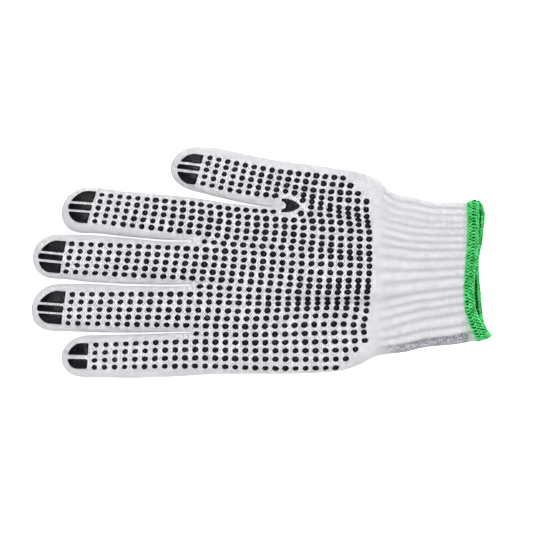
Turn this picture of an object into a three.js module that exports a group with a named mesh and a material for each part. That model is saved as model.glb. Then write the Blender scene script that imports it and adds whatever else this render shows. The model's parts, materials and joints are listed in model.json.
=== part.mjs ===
// A dotted grip glove: a seamless knitted work glove for the right hand, lying palm up on its back.
// Millimetres, +Z up. The fingers point to -X, the wrist opens to +X, the thumb is on the +Y side,
// and z = 0 is the surface that the back of the hand lies on.
import * as THREE from "three";
import { mergeVertices } from "three/addons/utils/BufferGeometryUtils.js";

// Knitted shell
const WALL = 1.5;
const FINGER_HEIGHT = 11.5;
const THUMB_HEIGHT = 12;
const SIDE_SHARE = 0.42; // height of the widest line, as a share of the whole height
const SIDE_ROUND = 15; // how far in from its side the palm is rounded, at most half a finger's width
const TIP_LENGTH = 14.2; // the part of a finger that is rounded off at its end
const CROTCH_X = -37; // where the four fingers meet the palm
const THUMB_CROTCH_X = 5.7;
const CROTCH_FILLET = 3; // length over which the gap between two fingers closes
const FINGER_BLEND = 16; // length over which a finger turns into the palm
const THUMB_BLEND = 26;
const CREASE_DEPTH = 3.2; // groove in the palm behind each crotch
const CREASE_LENGTH = 11;
const CREASE_HALF_WIDTH = 5;
const BACK_CREASE_SHARE = 0.4;
const FOLD_SLOPE = 8; // width of each flank of the palm's raised middle
const FOLD_SUNK_SHARE = 0.62; // share of that relief that lies below the palm's own height

// Ribbed cuff and its mouth
const RIB_HEIGHT = 0.45;
const RIB_START_X = 58;
const RIB_FULL_X = 70;
const RIB_END_X = 112;
const RIB_END_LENGTH = 6;
const MOUTH_X = 116;
const MOUTH_SKEW_START_X = 94;
const MOUTH_LIFT_START_X = 90;
const MOUTH_LIFT_LENGTH = 14;

// Overlocked edge, a U-shaped binding around the mouth
const HEM_LEG = 0.8;
const HEM_DEPTH = 5.2;
const HEM_NOSE = 1.3;
const SEAT_GAP = 0.3;

// Printed grip pads
const PAD_GAP = 0.4;
const PAD_THICKNESS = 0.6;
const PAD_CELLS_ALONG = 4;
const PAD_CELLS_ACROSS = 2;

// Segments across one finger, and the cross-sections of each stretch of the outer and inner surfaces:
// tip and digit as shares of their lengths, closing as distances from the crotch, palm and hand as x.
const ACROSS = 10;
const OUTER_SECTIONS = {
  tip: [0.03, 0.12, 0.3, 0.6, 1],
  digit: [0.25, 0.5, 0.75],
  closing: [-3, -1, 0],
  palm: [-29, -20, -10, -1],
  hand: [14, 23, 31, 39, 47, 54, 59, 63, 67, 71, 76, 84, 92, 100, 109, 116],
};
const INNER_SECTIONS = {
  tip: [0.08, 0.35, 1],
  digit: [0.5],
  closing: [-3, -1, 0],
  palm: [-26, -12, 1],
  hand: [20, 36, 52, 62, 72, 92, 110, 116],
};

// Each digit from its root to its tip: the side towards the thumb and the side towards the little finger.
const DIGIT_EDGES = {
  thumb: [
    { x: 5.7, thumbSide: 55.9, littleSide: 30.1 },
    { x: -6.2, thumbSide: 58.3, littleSide: 31.8 },
    { x: -17, thumbSide: 60.8, littleSide: 34.0 },
    { x: -27.8, thumbSide: 62.5, littleSide: 36.6 },
    { x: -36, thumbSide: 62.7, littleSide: 38.6 },
    { x: -49.1, thumbSide: 61.2, littleSide: 40.6 },
  ],
  index: [
    { x: -37, thumbSide: 35.3, littleSide: 12.1 },
    { x: -49.4, thumbSide: 36.6, littleSide: 12.3 },
    { x: -71, thumbSide: 38.4, littleSide: 14.0 },
    { x: -93.7, thumbSide: 40.9, littleSide: 16.1 },
    { x: -108, thumbSide: 39.2, littleSide: 14.6 },
  ],
  middle: [
    { x: -37, thumbSide: 11.5, littleSide: -11.7 },
    { x: -49.4, thumbSide: 11.5, littleSide: -11.9 },
    { x: -71, thumbSide: 13.3, littleSide: -11.5 },
    { x: -92.6, thumbSide: 15.0, littleSide: -10.4 },
    { x: -109.9, thumbSide: 15.5, littleSide: -8.7 },
    { x: -123.6, thumbSide: 15.0, littleSide: -9.4 },
  ],
  ring: [
    { x: -37, thumbSide: -12.3, littleSide: -37.2 },
    { x: -49.4, thumbSide: -12.7, littleSide: -37.4 },
    { x: -71, thumbSide: -12.4, littleSide: -37.8 },
    { x: -92.6, thumbSide: -11.5, littleSide: -37.5 },
    { x: -109.9, thumbSide: -11.4, littleSide: -37.0 },
    { x: -124.3, thumbSide: -13.0, littleSide: -38.2 },
  ],
  little: [
    { x: -37, thumbSide: -38.0, littleSide: -61.0 },
    { x: -49.4, thumbSide: -38.1, littleSide: -61.7 },
    { x: -71, thumbSide: -38.7, littleSide: -62.3 },
    { x: -92.6, thumbSide: -39.1, littleSide: -62.0 },
    { x: -108.1, thumbSide: -40.4, littleSide: -62.4 },
  ],
};

// The palm's thumb side before the thumb joins it, from the root of the index finger.
const PALM_THUMB_SIDE = [
  { x: -37, y: 35.3 },
  { x: -26.7, y: 33.6 },
  { x: -17, y: 32.0 },
  { x: 5.7, y: 30.1 },
];

// The outer sides of the hand and cuff, from the thumb and the little finger to the mouth.
const HAND_THUMB_SIDE = [
  { x: -37, y: 62.7 },
  { x: -17, y: 60.8 },
  { x: 5.7, y: 55.9 },
  { x: 25.1, y: 53.3 },
  { x: 42, y: 50.9 },
  { x: 51, y: 49.4 },
  { x: 58, y: 47.3 },
  { x: 64, y: 44.3 },
  { x: 70, y: 38.4 },
  { x: 74, y: 36.9 },
  { x: 82, y: 35.6 },
  { x: 92, y: 33.0 },
  { x: 104, y: 32.6 },
  { x: 116, y: 31.6 },
];
const HAND_LITTLE_SIDE = [
  { x: -37, y: -61 },
  { x: -22, y: -60.2 },
  { x: 20.8, y: -59.9 },
  { x: 42.4, y: -58.4 },
  { x: 51, y: -55.9 },
  { x: 64, y: -49.9 },
  { x: 77, y: -48.3 },
  { x: 87, y: -45.9 },
  { x: 103, y: -43.8 },
  { x: 116, y: -40.6 },
];

// The lines that run from each crotch down the palm to the mouth.
const CROTCH_LINES = [
  { x: -37, thumbIndex: 30.1, indexMiddle: 11.8, middleRing: -12.0, ringLittle: -37.6 },
  { x: 5.7, thumbIndex: 30.1, indexMiddle: 8.8, middleRing: -14.6, ringLittle: -38.4 },
  { x: 31.6, thumbIndex: 28.2, indexMiddle: 6.8, middleRing: -16.6, ringLittle: -37.7 },
  { x: 57.5, thumbIndex: 24.7, indexMiddle: 4.9, middleRing: -18.8, ringLittle: -37.3 },
  { x: 86, thumbIndex: 17.9, indexMiddle: 1.9, middleRing: -14.5, ringLittle: -30.6 },
  { x: 116, thumbIndex: 17.2, indexMiddle: 2.7, middleRing: -11.7, ringLittle: -26.2 },
];

// Height of the hand, how far the middle of the palm stands above its two flanks, and where those lie.
const PALM_RELIEF = [
  { x: -37, height: 11.8, fold: 0, thumbFlank: 33, littleFlank: -18 },
  { x: -8, height: 12.6, fold: 0.3, thumbFlank: 32, littleFlank: -18 },
  { x: 14, height: 13.2, fold: 1.6, thumbFlank: 31, littleFlank: -18.5 },
  { x: 38, height: 13.6, fold: 3.8, thumbFlank: 27, littleFlank: -19 },
  { x: 57, height: 13.4, fold: 4.2, thumbFlank: 20.5, littleFlank: -19 },
  { x: 78, height: 13, fold: 1.2, thumbFlank: 16, littleFlank: -18 },
  { x: 96, height: 13, fold: 0, thumbFlank: 14, littleFlank: -17 },
  { x: 116, height: 13.4, fold: 0, thumbFlank: 14, littleFlank: -17 },
];

// How far the knit reaches at the mouth, in the palm layer and in the back layer.
const MOUTH_EDGE = [
  { y: 32.6, palmLayer: 116.4, backLayer: 117.8 },
  { y: 24, palmLayer: 116.4, backLayer: 119.8 },
  { y: 12, palmLayer: 115.6, backLayer: 118.6 },
  { y: 0, palmLayer: 114.2, backLayer: 116.8 },
  { y: -12, palmLayer: 113.4, backLayer: 117.6 },
  { y: -24, palmLayer: 114.4, backLayer: 118.2 },
  { y: -33, palmLayer: 117.4, backLayer: 119.4 },
  { y: -42, palmLayer: 122.8, backLayer: 123.8 },
];

// The print on each fingertip: the middle of its round end, the turn of its axis, its half width, how far
// its round end reaches and how much it leans, the length and lean of its straight end, and its bars from
// one side to the other, as shares of the half width.
const TIP_PRINTS = {
  thumb: {
    x: -45.2,
    y: 51.4,
    turn: 0.129,
    halfWidth: 8,
    round: 7.7,
    roundLean: 0.085,
    length: 12,
    endLean: 0.155,
    bars: { outer: [0.42, 1], centre: [-0.08, 0.21], inner: [-1, -0.31] },
  },
  index: {
    x: -103.5,
    y: 30.6,
    turn: 0.077,
    halfWidth: 8.5,
    round: 7.7,
    roundLean: 0.2,
    length: 12.3,
    endLean: 0.2,
    bars: { outer: [0.33, 1], centre: [-0.19, 0.14], inner: [-1, -0.37] },
  },
  middle: {
    x: -119.7,
    y: 4.2,
    turn: 0.1,
    halfWidth: 8.55,
    round: 7.65,
    roundLean: 0.17,
    length: 13.1,
    endLean: 0.105,
    bars: { outer: [0.29, 1], centre: [-0.22, 0.11], inner: [-1, -0.415] },
  },
  ring: {
    x: -120.2,
    y: -23.3,
    turn: 0.07,
    halfWidth: 8.75,
    round: 8.05,
    roundLean: 0.185,
    length: 13.85,
    endLean: 0.075,
    bars: { outer: [0.28, 1], centre: [-0.28, 0.095], inner: [-1, -0.44] },
  },
  little: {
    x: -104.2,
    y: -50,
    turn: 0.01,
    halfWidth: 6.75,
    round: 5.6,
    roundLean: 0.15,
    length: 10.85,
    endLean: 0.075,
    bars: { outer: [0.11, 1], inner: [-1, -0.26] },
  },
};

// The arrowhead printed behind the thumb's crotch: the middle of its notched end, and its size.
const CROTCH_PRINT = { x: 10.9, y: 30.7, length: 9.7, halfWidth: 3.8, notch: 2.4, cellsAcross: 4 };

const FINISHES = {
  knit: { color: 0xe4e3e6, roughness: 0.95, metalness: 0 },
  hem: { color: 0x17a83c, roughness: 0.85, metalness: 0 },
  print: { color: 0x1f262b, roughness: 0.5, metalness: 0 },
};

const clamp01 = (t) => Math.min(1, Math.max(0, t));
const mix = (a, b, t) => a + (b - a) * t;
const smooth = (t) => clamp01(t) ** 2 * (3 - 2 * clamp01(t));
const superellipse = (u, p, q) => Math.max(0, 1 - Math.abs(u) ** p) ** (1 / q);

// A smooth curve through one column of a table that never overshoots its rows (a monotone cubic).
function curve(rows, column, key = "x") {
  const points = rows.map((row) => [row[key], row[column]]).sort((a, b) => a[0] - b[0]);
  const slopes = points.slice(1).map(([x, y], i) => (y - points[i][1]) / (x - points[i][0]));
  const tangents = points.map((_, i) => {
    const before = slopes[i - 1] ?? slopes[i];
    const after = slopes[i] ?? before;
    return before * after <= 0 ? 0 : (2 * before * after) / (before + after);
  });
  return (at) => {
    const x = Math.min(points.at(-1)[0], Math.max(points[0][0], at));
    const i = Math.min(points.length - 2, points.filter((point) => point[0] <= x).length - 1);
    const step = points[i + 1][0] - points[i][0];
    const t = (x - points[i][0]) / step;
    const values = mix(points[i][1], points[i + 1][1], t ** 2 * (3 - 2 * t));
    return values + t * (1 - t) * step * ((1 - t) * tangents[i] - t * tangents[i + 1]);
  };
}

function columnCurves(rows, names, key) {
  return Object.fromEntries(names.map((name) => [name, curve(rows, name, key)]));
}
const crotchLines = columnCurves(CROTCH_LINES, ["thumbIndex", "indexMiddle", "middleRing", "ringLittle"]);
const relief = columnCurves(PALM_RELIEF, ["height", "fold", "thumbFlank", "littleFlank"]);
const mouthEdge = columnCurves(MOUTH_EDGE, ["palmLayer", "backLayer"], "y");
const palmThumbSide = curve(PALM_THUMB_SIDE, "y");
const handThumbSide = curve(HAND_THUMB_SIDE, "y");
const handLittleSide = curve(HAND_LITTLE_SIDE, "y");

// A groove along each crotch line, deepest at the crotch and fading down the palm.
function crease(x, y) {
  let depth = 0;
  for (const [name, line] of Object.entries(crotchLines)) {
    const start = name === "thumbIndex" ? THUMB_CROTCH_X : CROTCH_X;
    const along = x < start ? smooth(1 + (x - start) / THUMB_BLEND) : Math.exp((start - x) / CREASE_LENGTH);
    const across = Math.exp(-2 * ((y - line(x)) / CREASE_HALF_WIDTH) ** 2);
    depth = Math.max(depth, along * across);
  }
  return CREASE_DEPTH * depth;
}

// The raised middle of the palm between its two lengthwise flanks.
function foldRelief(x, y) {
  const aboveLittleFlank = smooth((y - relief.littleFlank(x)) / FOLD_SLOPE + 0.5);
  const aboveThumbFlank = smooth((y - relief.thumbFlank(x)) / FOLD_SLOPE + 0.5);
  return relief.fold(x) * (aboveLittleFlank - aboveThumbFlank - FOLD_SUNK_SHARE);
}

// How far the fabric is lifted off the surface by the overlocked edge under it.
const mouthLift = (x) => (HEM_LEG + SEAT_GAP) * smooth((x - MOUTH_LIFT_START_X) / MOUTH_LIFT_LENGTH);

// A rounded tube's palm-side height and underside at y, between its two sides.
function roundTube(y, sides, height) {
  const round = Math.min(SIDE_ROUND, (sides.high - sides.low) / 2);
  const u = 1 - Math.min(round, Math.max(0, Math.min(sides.high - y, y - sides.low))) / round;
  const side = SIDE_SHARE * height;
  return {
    top: side + (height - side) * superellipse(u, 2.6, 2.3),
    bottom: Math.max(0, side * (1 - 1.05 * superellipse(u, 3.4, 2.6))),
  };
}

// The palm's heights at a point, between two given sides.
function palmHeights(x, y, sides) {
  const { top, bottom } = roundTube(y, sides, relief.height(x));
  const u = (2 * y - sides.high - sides.low) / (sides.high - sides.low);
  const groove = crease(x, y);
  return {
    top: top + superellipse(u, 6, 1) * foldRelief(x, y) - groove,
    bottom: bottom + BACK_CREASE_SHARE * groove + mouthLift(x),
  };
}

// The tubes of the glove: its digits, the palm that the four fingers join, and the hand and cuff that the
// palm and the thumb join. seams are the lines that two neighbours meet on, or none on an outer side.
function digit(name, height, end, blend, seams, parent) {
  return {
    high: curve(DIGIT_EDGES[name], "thumbSide"),
    low: curve(DIGIT_EDGES[name], "littleSide"),
    tip: DIGIT_EDGES[name].at(-1).x,
    strips: [],
    height,
    end,
    blend,
    seams,
    parent,
  };
}
const { thumbIndex, indexMiddle, middleRing, ringLittle } = crotchLines;
const hand = {
  high: handThumbSide,
  low: handLittleSide,
  strips: [thumbIndex, indexMiddle, middleRing, ringLittle],
};
const palm = {
  high: palmThumbSide,
  low: handLittleSide,
  strips: [indexMiddle, middleRing, ringLittle],
  end: THUMB_CROTCH_X,
  blend: THUMB_BLEND,
  seams: { low: null, high: thumbIndex },
  parent: hand,
};
const finger = (name, high, low) => digit(name, FINGER_HEIGHT, CROTCH_X, FINGER_BLEND, { high, low }, palm);
const digits = {
  thumb: digit("thumb", THUMB_HEIGHT, THUMB_CROTCH_X, THUMB_BLEND, { high: null, low: thumbIndex }, hand),
  index: finger("index", null, indexMiddle),
  middle: finger("middle", indexMiddle, middleRing),
  ring: finger("ring", middleRing, ringLittle),
  little: finger("little", ringLittle, null),
};

const sidesOf = (tube, x) => ({ high: tube.high(x), low: tube.low(x) });
const joined = (tube, x) => (tube.parent ? smooth(1 + (x - tube.end) / tube.blend) : 0);

// A tube's full height at x, and its heights at a point, without the rounding of its tip.
function heightOf(tube, x) {
  const palmHeight = relief.height(x);
  return tube.tip === undefined ? palmHeight : mix(tube.height, palmHeight, joined(tube, x));
}
function heightsAt(tube, x, y) {
  const sides = sidesOf(tube, x);
  const own = tube.tip === undefined ? palmHeights(x, y, sides) : roundTube(y, sides, tube.height);
  if (!tube.parent) return own;
  const parent = palmHeights(x, y, sidesOf(tube.parent, x));
  const share = joined(tube, x);
  return { top: mix(own.top, parent.top, share), bottom: mix(own.bottom, parent.bottom, share) };
}

// What is left of a tube's width and height where its tip is rounded off, at a share of the tip's length.
function tipShare(tube, x, inset) {
  return tube.tip === undefined ? 1 : clamp01((x - tube.tip - inset) / (TIP_LENGTH - inset));
}
const tipWidth = (share) => superellipse(1 - share, 2.2, 2.2);
const tipHeight = (share) => superellipse(1 - share, 2.4, 2.2);

// One cross-section of a tube at x, on its outer surface or inset by the wall: its two widest points, and
// the points between them on the palm side (top) and the underside (bottom), all from the thumb side.
function crossSection(tube, x, inset) {
  const sides = sidesOf(tube, x);
  const middle = (sides.high + sides.low) / 2;
  const fullHalf = (sides.high - sides.low) / 2;
  const share = tipShare(tube, x, inset);
  const half = (fullHalf - inset) * tipWidth(share);
  const rise = tipHeight(share);
  const closed = tube.parent ? clamp01(1 + (x - tube.end - inset) / CROTCH_FILLET) : 0;
  const closing = 1 - Math.sqrt(1 - closed ** 2);
  const side = SIDE_SHARE * heightOf(tube, x) + mouthLift(x);

  // Places across the section as shares of its half width: bunched towards the sides of a digit, and
  // evenly spread between the seams of the palm.
  const sideStep = (0.049 * Math.min(SIDE_ROUND, fullHalf)) / fullHalf;
  const ends = [1 - sideStep, ...tube.strips.map((line) => (line(x) - middle) / fullHalf), sideStep - 1];
  const places = [];
  for (let strip = 0; strip + 1 < ends.length; strip += 1) {
    for (let k = strip ? 2 : 1; k < ACROSS; k += 1) {
      const even = mix(ends[strip], ends[strip + 1], (k - 1) / (ACROSS - 2));
      const bunched = Math.cos((Math.PI * k) / ACROSS);
      places.push(tube.tip === undefined ? even : mix(bunched, even, joined(tube, x - inset)));
    }
  }

  // Towards a crotch, the side of a tube moves on to the line where it meets its neighbour.
  const seamShift = {
    high: tube.seams?.high ? closing * (tube.seams.high(x) - middle - half) : 0,
    low: tube.seams?.low ? closing * (tube.seams.low(x) - middle + half) : 0,
  };
  const across = (u) => middle + half * u + mix(seamShift.low, seamShift.high, (u + 1) / 2);
  const onSeam = (u, seam) => seam && closing === 1 && Math.abs(u) > 1 - 1.5 * sideStep;
  const ribStart = smooth((x - RIB_START_X) / (RIB_FULL_X - RIB_START_X));
  const ribs = RIB_HEIGHT * ribStart * smooth((RIB_END_X - x) / RIB_END_LENGTH);

  const layer = (key, sign) =>
    places.map((u, i) => {
      const seam = u > 0 ? tube.seams?.high : tube.seams?.low;
      const y = onSeam(u, seam) ? seam(x) : across(u);
      const outerY = onSeam(u, seam) ? y : mix(across(u), middle + fullHalf * u, 1 - closing);
      const depth = sign * (heightsAt(tube, x, outerY)[key] - side) - inset;
      const rib = (key === "top" && i % 2 === 0 ? ribs : 0) - (key === "bottom" && i % 2 ? ribs : 0);
      return [skewed(x, y, key), y, side + sign * (depth * rise + rib)];
    });
  const sidePoint = (key, sign) => {
    const y = middle + sign * half + seamShift[key];
    return [(skewed(x, y, "top") + skewed(x, y, "bottom")) / 2, y, side];
  };
  return {
    high: sidePoint("high", 1),
    low: sidePoint("low", -1),
    top: layer("top", 1),
    bottom: layer("bottom", -1),
  };
}

// The mouth's own edge is uneven, so the sections near it are skewed to follow it.
function skewed(x, y, layer) {
  const share = clamp01((x - MOUTH_SKEW_START_X) / (MOUTH_X - MOUTH_SKEW_START_X));
  const edge = layer === "top" ? mouthEdge.palmLayer(y) : mouthEdge.backLayer(y);
  return x + (edge - MOUTH_X) * share;
}

const ringOf = (section) => [section.high, ...section.top, section.low, ...section.bottom.toReversed()];

// The section that two or more neighbours form where they meet, without the walls between them.
function joinSections(sections) {
  const chain = (key) => sections.flatMap((section, i) => section[key].slice(i ? 1 : 0));
  return { high: sections[0].high, low: sections.at(-1).low, top: chain("top"), bottom: chain("bottom") };
}

// Triangles between two rings of points, the first one nearer the tip, facing away from their axis.
function band(first, second) {
  return first.flatMap((point, i) => {
    const next = (i + 1) % first.length;
    return [
      [point, first[next], second[next]],
      [point, second[next], second[i]],
    ];
  });
}

// The outer or inner surface of the whole glove, open at the mouth, and the section at the mouth.
function surface(sections, inset) {
  const faces = [];
  const run = (start, tube, stations) => {
    let last = start;
    for (const x of stations) {
      const next = crossSection(tube, x, inset);
      faces.push(...band(ringOf(last), ringOf(next)));
      last = next;
    }
    return last;
  };
  const closingOf = (tube) => sections.closing.map((distance) => tube.end + inset + distance);
  const digitEnds = Object.fromEntries(
    Object.entries(digits).map(([name, tube]) => {
      const tipX = tube.tip + inset;
      const shoulder = tube.tip + TIP_LENGTH;
      const root = closingOf(tube)[0];
      const [first, ...stations] = [
        ...sections.tip.map((share) => mix(tipX, shoulder, share)),
        ...sections.digit.map((share) => mix(shoulder, root, share)),
        ...closingOf(tube),
      ];
      const start = crossSection(tube, first, inset);
      const apex = [tipX, (tube.high(tipX) + tube.low(tipX)) / 2, start.high[2]];
      const ring = ringOf(start);
      faces.push(...ring.map((point, i) => [apex, ring[(i + 1) % ring.length], point]));
      return [name, run(start, tube, stations)];
    }),
  );
  const { thumb, index, middle, ring, little } = digitEnds;
  const roots = joinSections([index, middle, ring, little]);
  const palmEnd = run(roots, palm, [...sections.palm, ...closingOf(palm)]);
  return { faces, mouth: run(joinSections([thumb, palmEnd]), hand, sections.hand) };
}

// One closed mesh from triangles that repeat their shared points.
function meshOf(name, faces, finish) {
  const geometry = new THREE.BufferGeometry();
  geometry.setAttribute("position", new THREE.Float32BufferAttribute(faces.flat(2), 3));
  const material = new THREE.MeshStandardMaterial(FINISHES[finish]);
  const mesh = new THREE.Mesh(mergeVertices(geometry, 1e-3), material);
  mesh.name = name;
  return mesh;
}

function knitShell() {
  const outer = surface(OUTER_SECTIONS, 0);
  const inner = surface(INNER_SECTIONS, WALL);
  const rim = band(ringOf(outer.mouth), ringOf(inner.mouth));
  const lining = inner.faces.map((face) => face.toReversed());
  return meshOf("knit_shell", [...outer.faces, ...rim, ...lining], "knit");
}

// The overlocked edge: a U-shaped section swept around the mouth, one leg on each side of the knit.
function overlockHem() {
  const wallAt = (x) => {
    const outer = ringOf(crossSection(hand, x, 0));
    const inner = ringOf(crossSection(hand, x, WALL));
    return outer.map((point, i) => [new THREE.Vector3(...point), new THREE.Vector3(...inner[i])]);
  };
  const atMouth = wallAt(MOUTH_X);
  const atDepth = wallAt(MOUTH_X - HEM_DEPTH);
  const legTop = SEAT_GAP + HEM_LEG;

  // Corners of the section: how far past the mouth, on which side of the wall, and how far off it.
  const corners = [
    { past: -HEM_DEPTH, side: "outer", off: SEAT_GAP },
    { past: -HEM_DEPTH, side: "outer", off: legTop },
    { past: HEM_NOSE - 0.6, side: "outer", off: legTop },
    { past: HEM_NOSE, side: "outer", off: 0 },
    { past: HEM_NOSE, side: "inner", off: 0 },
    { past: HEM_NOSE - 0.6, side: "inner", off: legTop },
    { past: -HEM_DEPTH, side: "inner", off: legTop },
    { past: -HEM_DEPTH, side: "inner", off: SEAT_GAP },
    { past: SEAT_GAP, side: "inner", off: SEAT_GAP },
    { past: SEAT_GAP, side: "outer", off: SEAT_GAP },
  ];
  const loops = corners.map(({ past, side, off }) =>
    atMouth.map(([outer, inner], i) => {
      const [edge, deep] = side === "outer" ? [outer, atDepth[i][0]] : [inner, atDepth[i][1]];
      const along = edge.clone().sub(deep).normalize();
      const outward = outer.clone().sub(inner).setX(0).normalize();
      const point = past === -HEM_DEPTH ? deep.clone() : edge.clone().addScaledVector(along, past);
      point.addScaledVector(outward, side === "outer" ? off : -off).setZ(Math.max(0, point.z));
      return point.toArray();
    }),
  );
  const faces = loops.flatMap((loop, i) => band(loop, loops[(i + 1) % loops.length]));
  return meshOf("overlock_hem", faces, "hem");
}

// The palm-side height anywhere on a tube, with its rounded tip, and a point at a distance off it.
function topHeight(tube, x, y) {
  const share = tipShare(tube, x, 0);
  const sides = sidesOf(tube, x);
  const middle = (sides.high + sides.low) / 2;
  const side = SIDE_SHARE * heightOf(tube, x);
  const fullY = middle + (y - middle) / Math.max(tipWidth(share), 0.05);
  return side + (heightsAt(tube, x, fullY).top - side) * tipHeight(share);
}
function offSurface(tube, x, y, distance) {
  const step = 0.2;
  const slopeX = (topHeight(tube, x + step, y) - topHeight(tube, x - step, y)) / (2 * step);
  const slopeY = (topHeight(tube, x, y + step) - topHeight(tube, x, y - step)) / (2 * step);
  const normal = new THREE.Vector3(-slopeX, -slopeY, 1).normalize();
  return new THREE.Vector3(x, y, topHeight(tube, x, y)).addScaledVector(normal, distance).toArray();
}

// A pad of even thickness on a tube's palm side. outline gives its two ends, for a share across it.
function printedPad(name, tube, outline, cellsAcross = PAD_CELLS_ACROSS) {
  const shares = (count) => [...Array(count + 1).keys()].map((i) => i / count);
  const rows = shares(cellsAcross).map(outline);
  const sheet = (distance) =>
    rows.map(([start, end]) =>
      shares(PAD_CELLS_ALONG).map((share) => {
        const [x, y] = [mix(start[0], end[0], share), mix(start[1], end[1], share)];
        return offSurface(tube, x, y, distance);
      }),
    );
  const lower = sheet(PAD_GAP);
  const upper = sheet(PAD_GAP + PAD_THICKNESS);
  const rings = rows.map((_, row) => [...upper[row], ...lower[row].toReversed()]);
  const walls = rings.slice(1).flatMap((ring, i) => band(rings[i], ring));
  const cap = (row) =>
    upper[row].slice(1).flatMap((point, k) => [
      [upper[row][k], point, lower[row][k + 1]],
      [upper[row][k], lower[row][k + 1], lower[row][k]],
    ]);
  const firstCap = cap(0).map((face) => face.toReversed());
  return meshOf(name, [...walls, ...firstCap, ...cap(rows.length - 1)], "print");
}

// One bar of a fingertip's print: round towards the tip, straight and slightly slanted towards the palm.
function tipBar(name, tube, print, [fromShare, toShare]) {
  const { x, y, turn, halfWidth } = print;
  const place = (along, across) => [
    x + along * Math.cos(turn) + across * Math.sin(turn),
    y - along * Math.sin(turn) + across * Math.cos(turn),
  ];
  return printedPad(name, tube, (t) => {
    const v = mix(fromShare, toShare, t);
    const across = halfWidth * v;
    const start = print.round * (1 - superellipse(v, 1.7, 1.7)) + print.roundLean * across;
    const end = print.length + print.endLean * across;
    return [place(start, across), place(end, across)];
  });
}

function crotchPatch() {
  const { x, y, length, halfWidth, notch, cellsAcross } = CROTCH_PRINT;
  const outline = (t) => {
    const v = mix(-0.94, 0.94, t);
    const start = x + notch * superellipse(Math.min(Math.abs(v) / 0.62, 1), 2, 1.4);
    const end = x + length * superellipse(v, 1.3, 2.3);
    return [
      [start, y + halfWidth * v],
      [end, y + halfWidth * v],
    ];
  };
  return printedPad("thumb_crotch_patch", hand, outline, cellsAcross);
}

const glove = new THREE.Group();
glove.add(knitShell(), overlockHem(), crotchPatch());
for (const [name, print] of Object.entries(TIP_PRINTS)) {
  for (const [bar, span] of Object.entries(print.bars)) {
    glove.add(tipBar(`${name}_tip_pad_${bar}`, digits[name], print, span));
  }
}

// The origin is under the middle of the glove's box, on the surface that it lies on.
const box = new THREE.Box3().setFromObject(glove);
const centre = box.getCenter(new THREE.Vector3());
for (const mesh of glove.children) mesh.geometry.translate(-centre.x, -centre.y, -box.min.z);

export default glove;
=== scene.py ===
"""Looks of the dotted grip glove: seamless knit, printed vinyl grip and an overlocked wrist edge.

Shapes are worked out in millimetres and turned to metres when a mesh is made. The fingers point
to -X, the thumb is on the +Y side, the palm faces +Z.
"""

import json
import math

import bmesh
import bpy
import numpy as np
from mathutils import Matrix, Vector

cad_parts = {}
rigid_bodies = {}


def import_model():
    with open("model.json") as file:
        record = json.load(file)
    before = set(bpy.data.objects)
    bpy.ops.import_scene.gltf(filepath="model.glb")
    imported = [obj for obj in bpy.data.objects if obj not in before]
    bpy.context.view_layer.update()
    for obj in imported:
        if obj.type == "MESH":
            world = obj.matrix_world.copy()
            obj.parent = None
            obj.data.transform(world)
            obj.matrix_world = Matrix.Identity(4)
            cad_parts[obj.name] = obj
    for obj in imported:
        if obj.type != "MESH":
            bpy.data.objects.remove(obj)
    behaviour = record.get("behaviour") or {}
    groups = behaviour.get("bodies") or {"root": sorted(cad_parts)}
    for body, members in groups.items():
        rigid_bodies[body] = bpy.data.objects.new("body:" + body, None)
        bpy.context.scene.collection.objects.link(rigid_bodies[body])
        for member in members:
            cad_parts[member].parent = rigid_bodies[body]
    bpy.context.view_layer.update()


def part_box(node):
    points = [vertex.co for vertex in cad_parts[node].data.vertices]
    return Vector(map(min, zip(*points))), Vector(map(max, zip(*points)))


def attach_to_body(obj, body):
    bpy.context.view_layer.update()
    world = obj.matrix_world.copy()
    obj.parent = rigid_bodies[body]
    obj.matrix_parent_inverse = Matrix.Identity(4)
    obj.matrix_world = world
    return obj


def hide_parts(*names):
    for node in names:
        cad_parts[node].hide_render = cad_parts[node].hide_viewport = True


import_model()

MILLIMETRES_PER_METRE = 1000

# Knitted shell, the same sizes as the solid it replaces. A tube is widest at the side share of its
# height, and round this far in from its sides.
WALL = 1.5
FINGER_HEIGHT = 11.5
THUMB_HEIGHT = 12
SIDE_SHARE = 0.42
SIDE_ROUND = 15
TIP_LENGTH = 14.2
TIP_NARROWEST = 0.05
CROTCH_X = -37
THUMB_CROTCH_X = 5.7
CROTCH_FILLET = 3
FINGER_BLEND = 16
THUMB_BLEND = 26

# The crease that runs on from each crotch, and the palm's raised middle between its two slopes.
CREASE_DEPTH = 3.2
CREASE_LENGTH = 11
CREASE_HALF_WIDTH = 5
BACK_CREASE_SHARE = 0.4
FOLD_SLOPE = 8
FOLD_SUNK_SHARE = 0.62

# Powers of the superellipses that round a tube's palm side, its flatter back, and a fingertip seen
# from above and from the side, and of those that fade a relief out towards a tube's sides.
PALM_ROUNDING = (2.6, 2.3)
BACK_ROUNDING = (3.4, 2.6)
BACK_FLATNESS = 1.05
TIP_OUTLINE = (2.2, 2.2)
TIP_PROFILE = (2.4, 2.2)
FOLD_FADE = (6, 1)
SWELL_FADE = (4, 1)
RIB_FADE = (8, 1)

# Swells and puckers of the limp knit: the height, then two crossing waves, each with its turn for a
# millimetre of x, its turn for a millimetre of y and its phase.
SWELLS = [
    (0.26, (0.13, 0.21, 1.1), (-0.07, 0.19, 0.4)),
    (0.13, (0.36, -0.29, 2.0), (0.11, 0.41, 0.0)),
]

# Ribbed cuff and mouth.
RIB_HEIGHT = 0.55
RIB_ROUNDING = 0.7
RIB_INNER_SHARE = 0.5
BACK_RIB_LIFT = 0.4
RIB_START_X = 58
RIB_FULL_X = 70
MOUTH_X = 116
MOUTH_SKEW_START_X = 94
MOUTH_LIFT_START_X = 90
MOUTH_LIFT_LENGTH = 14
MOUTH_LIFT = 1.1

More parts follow.
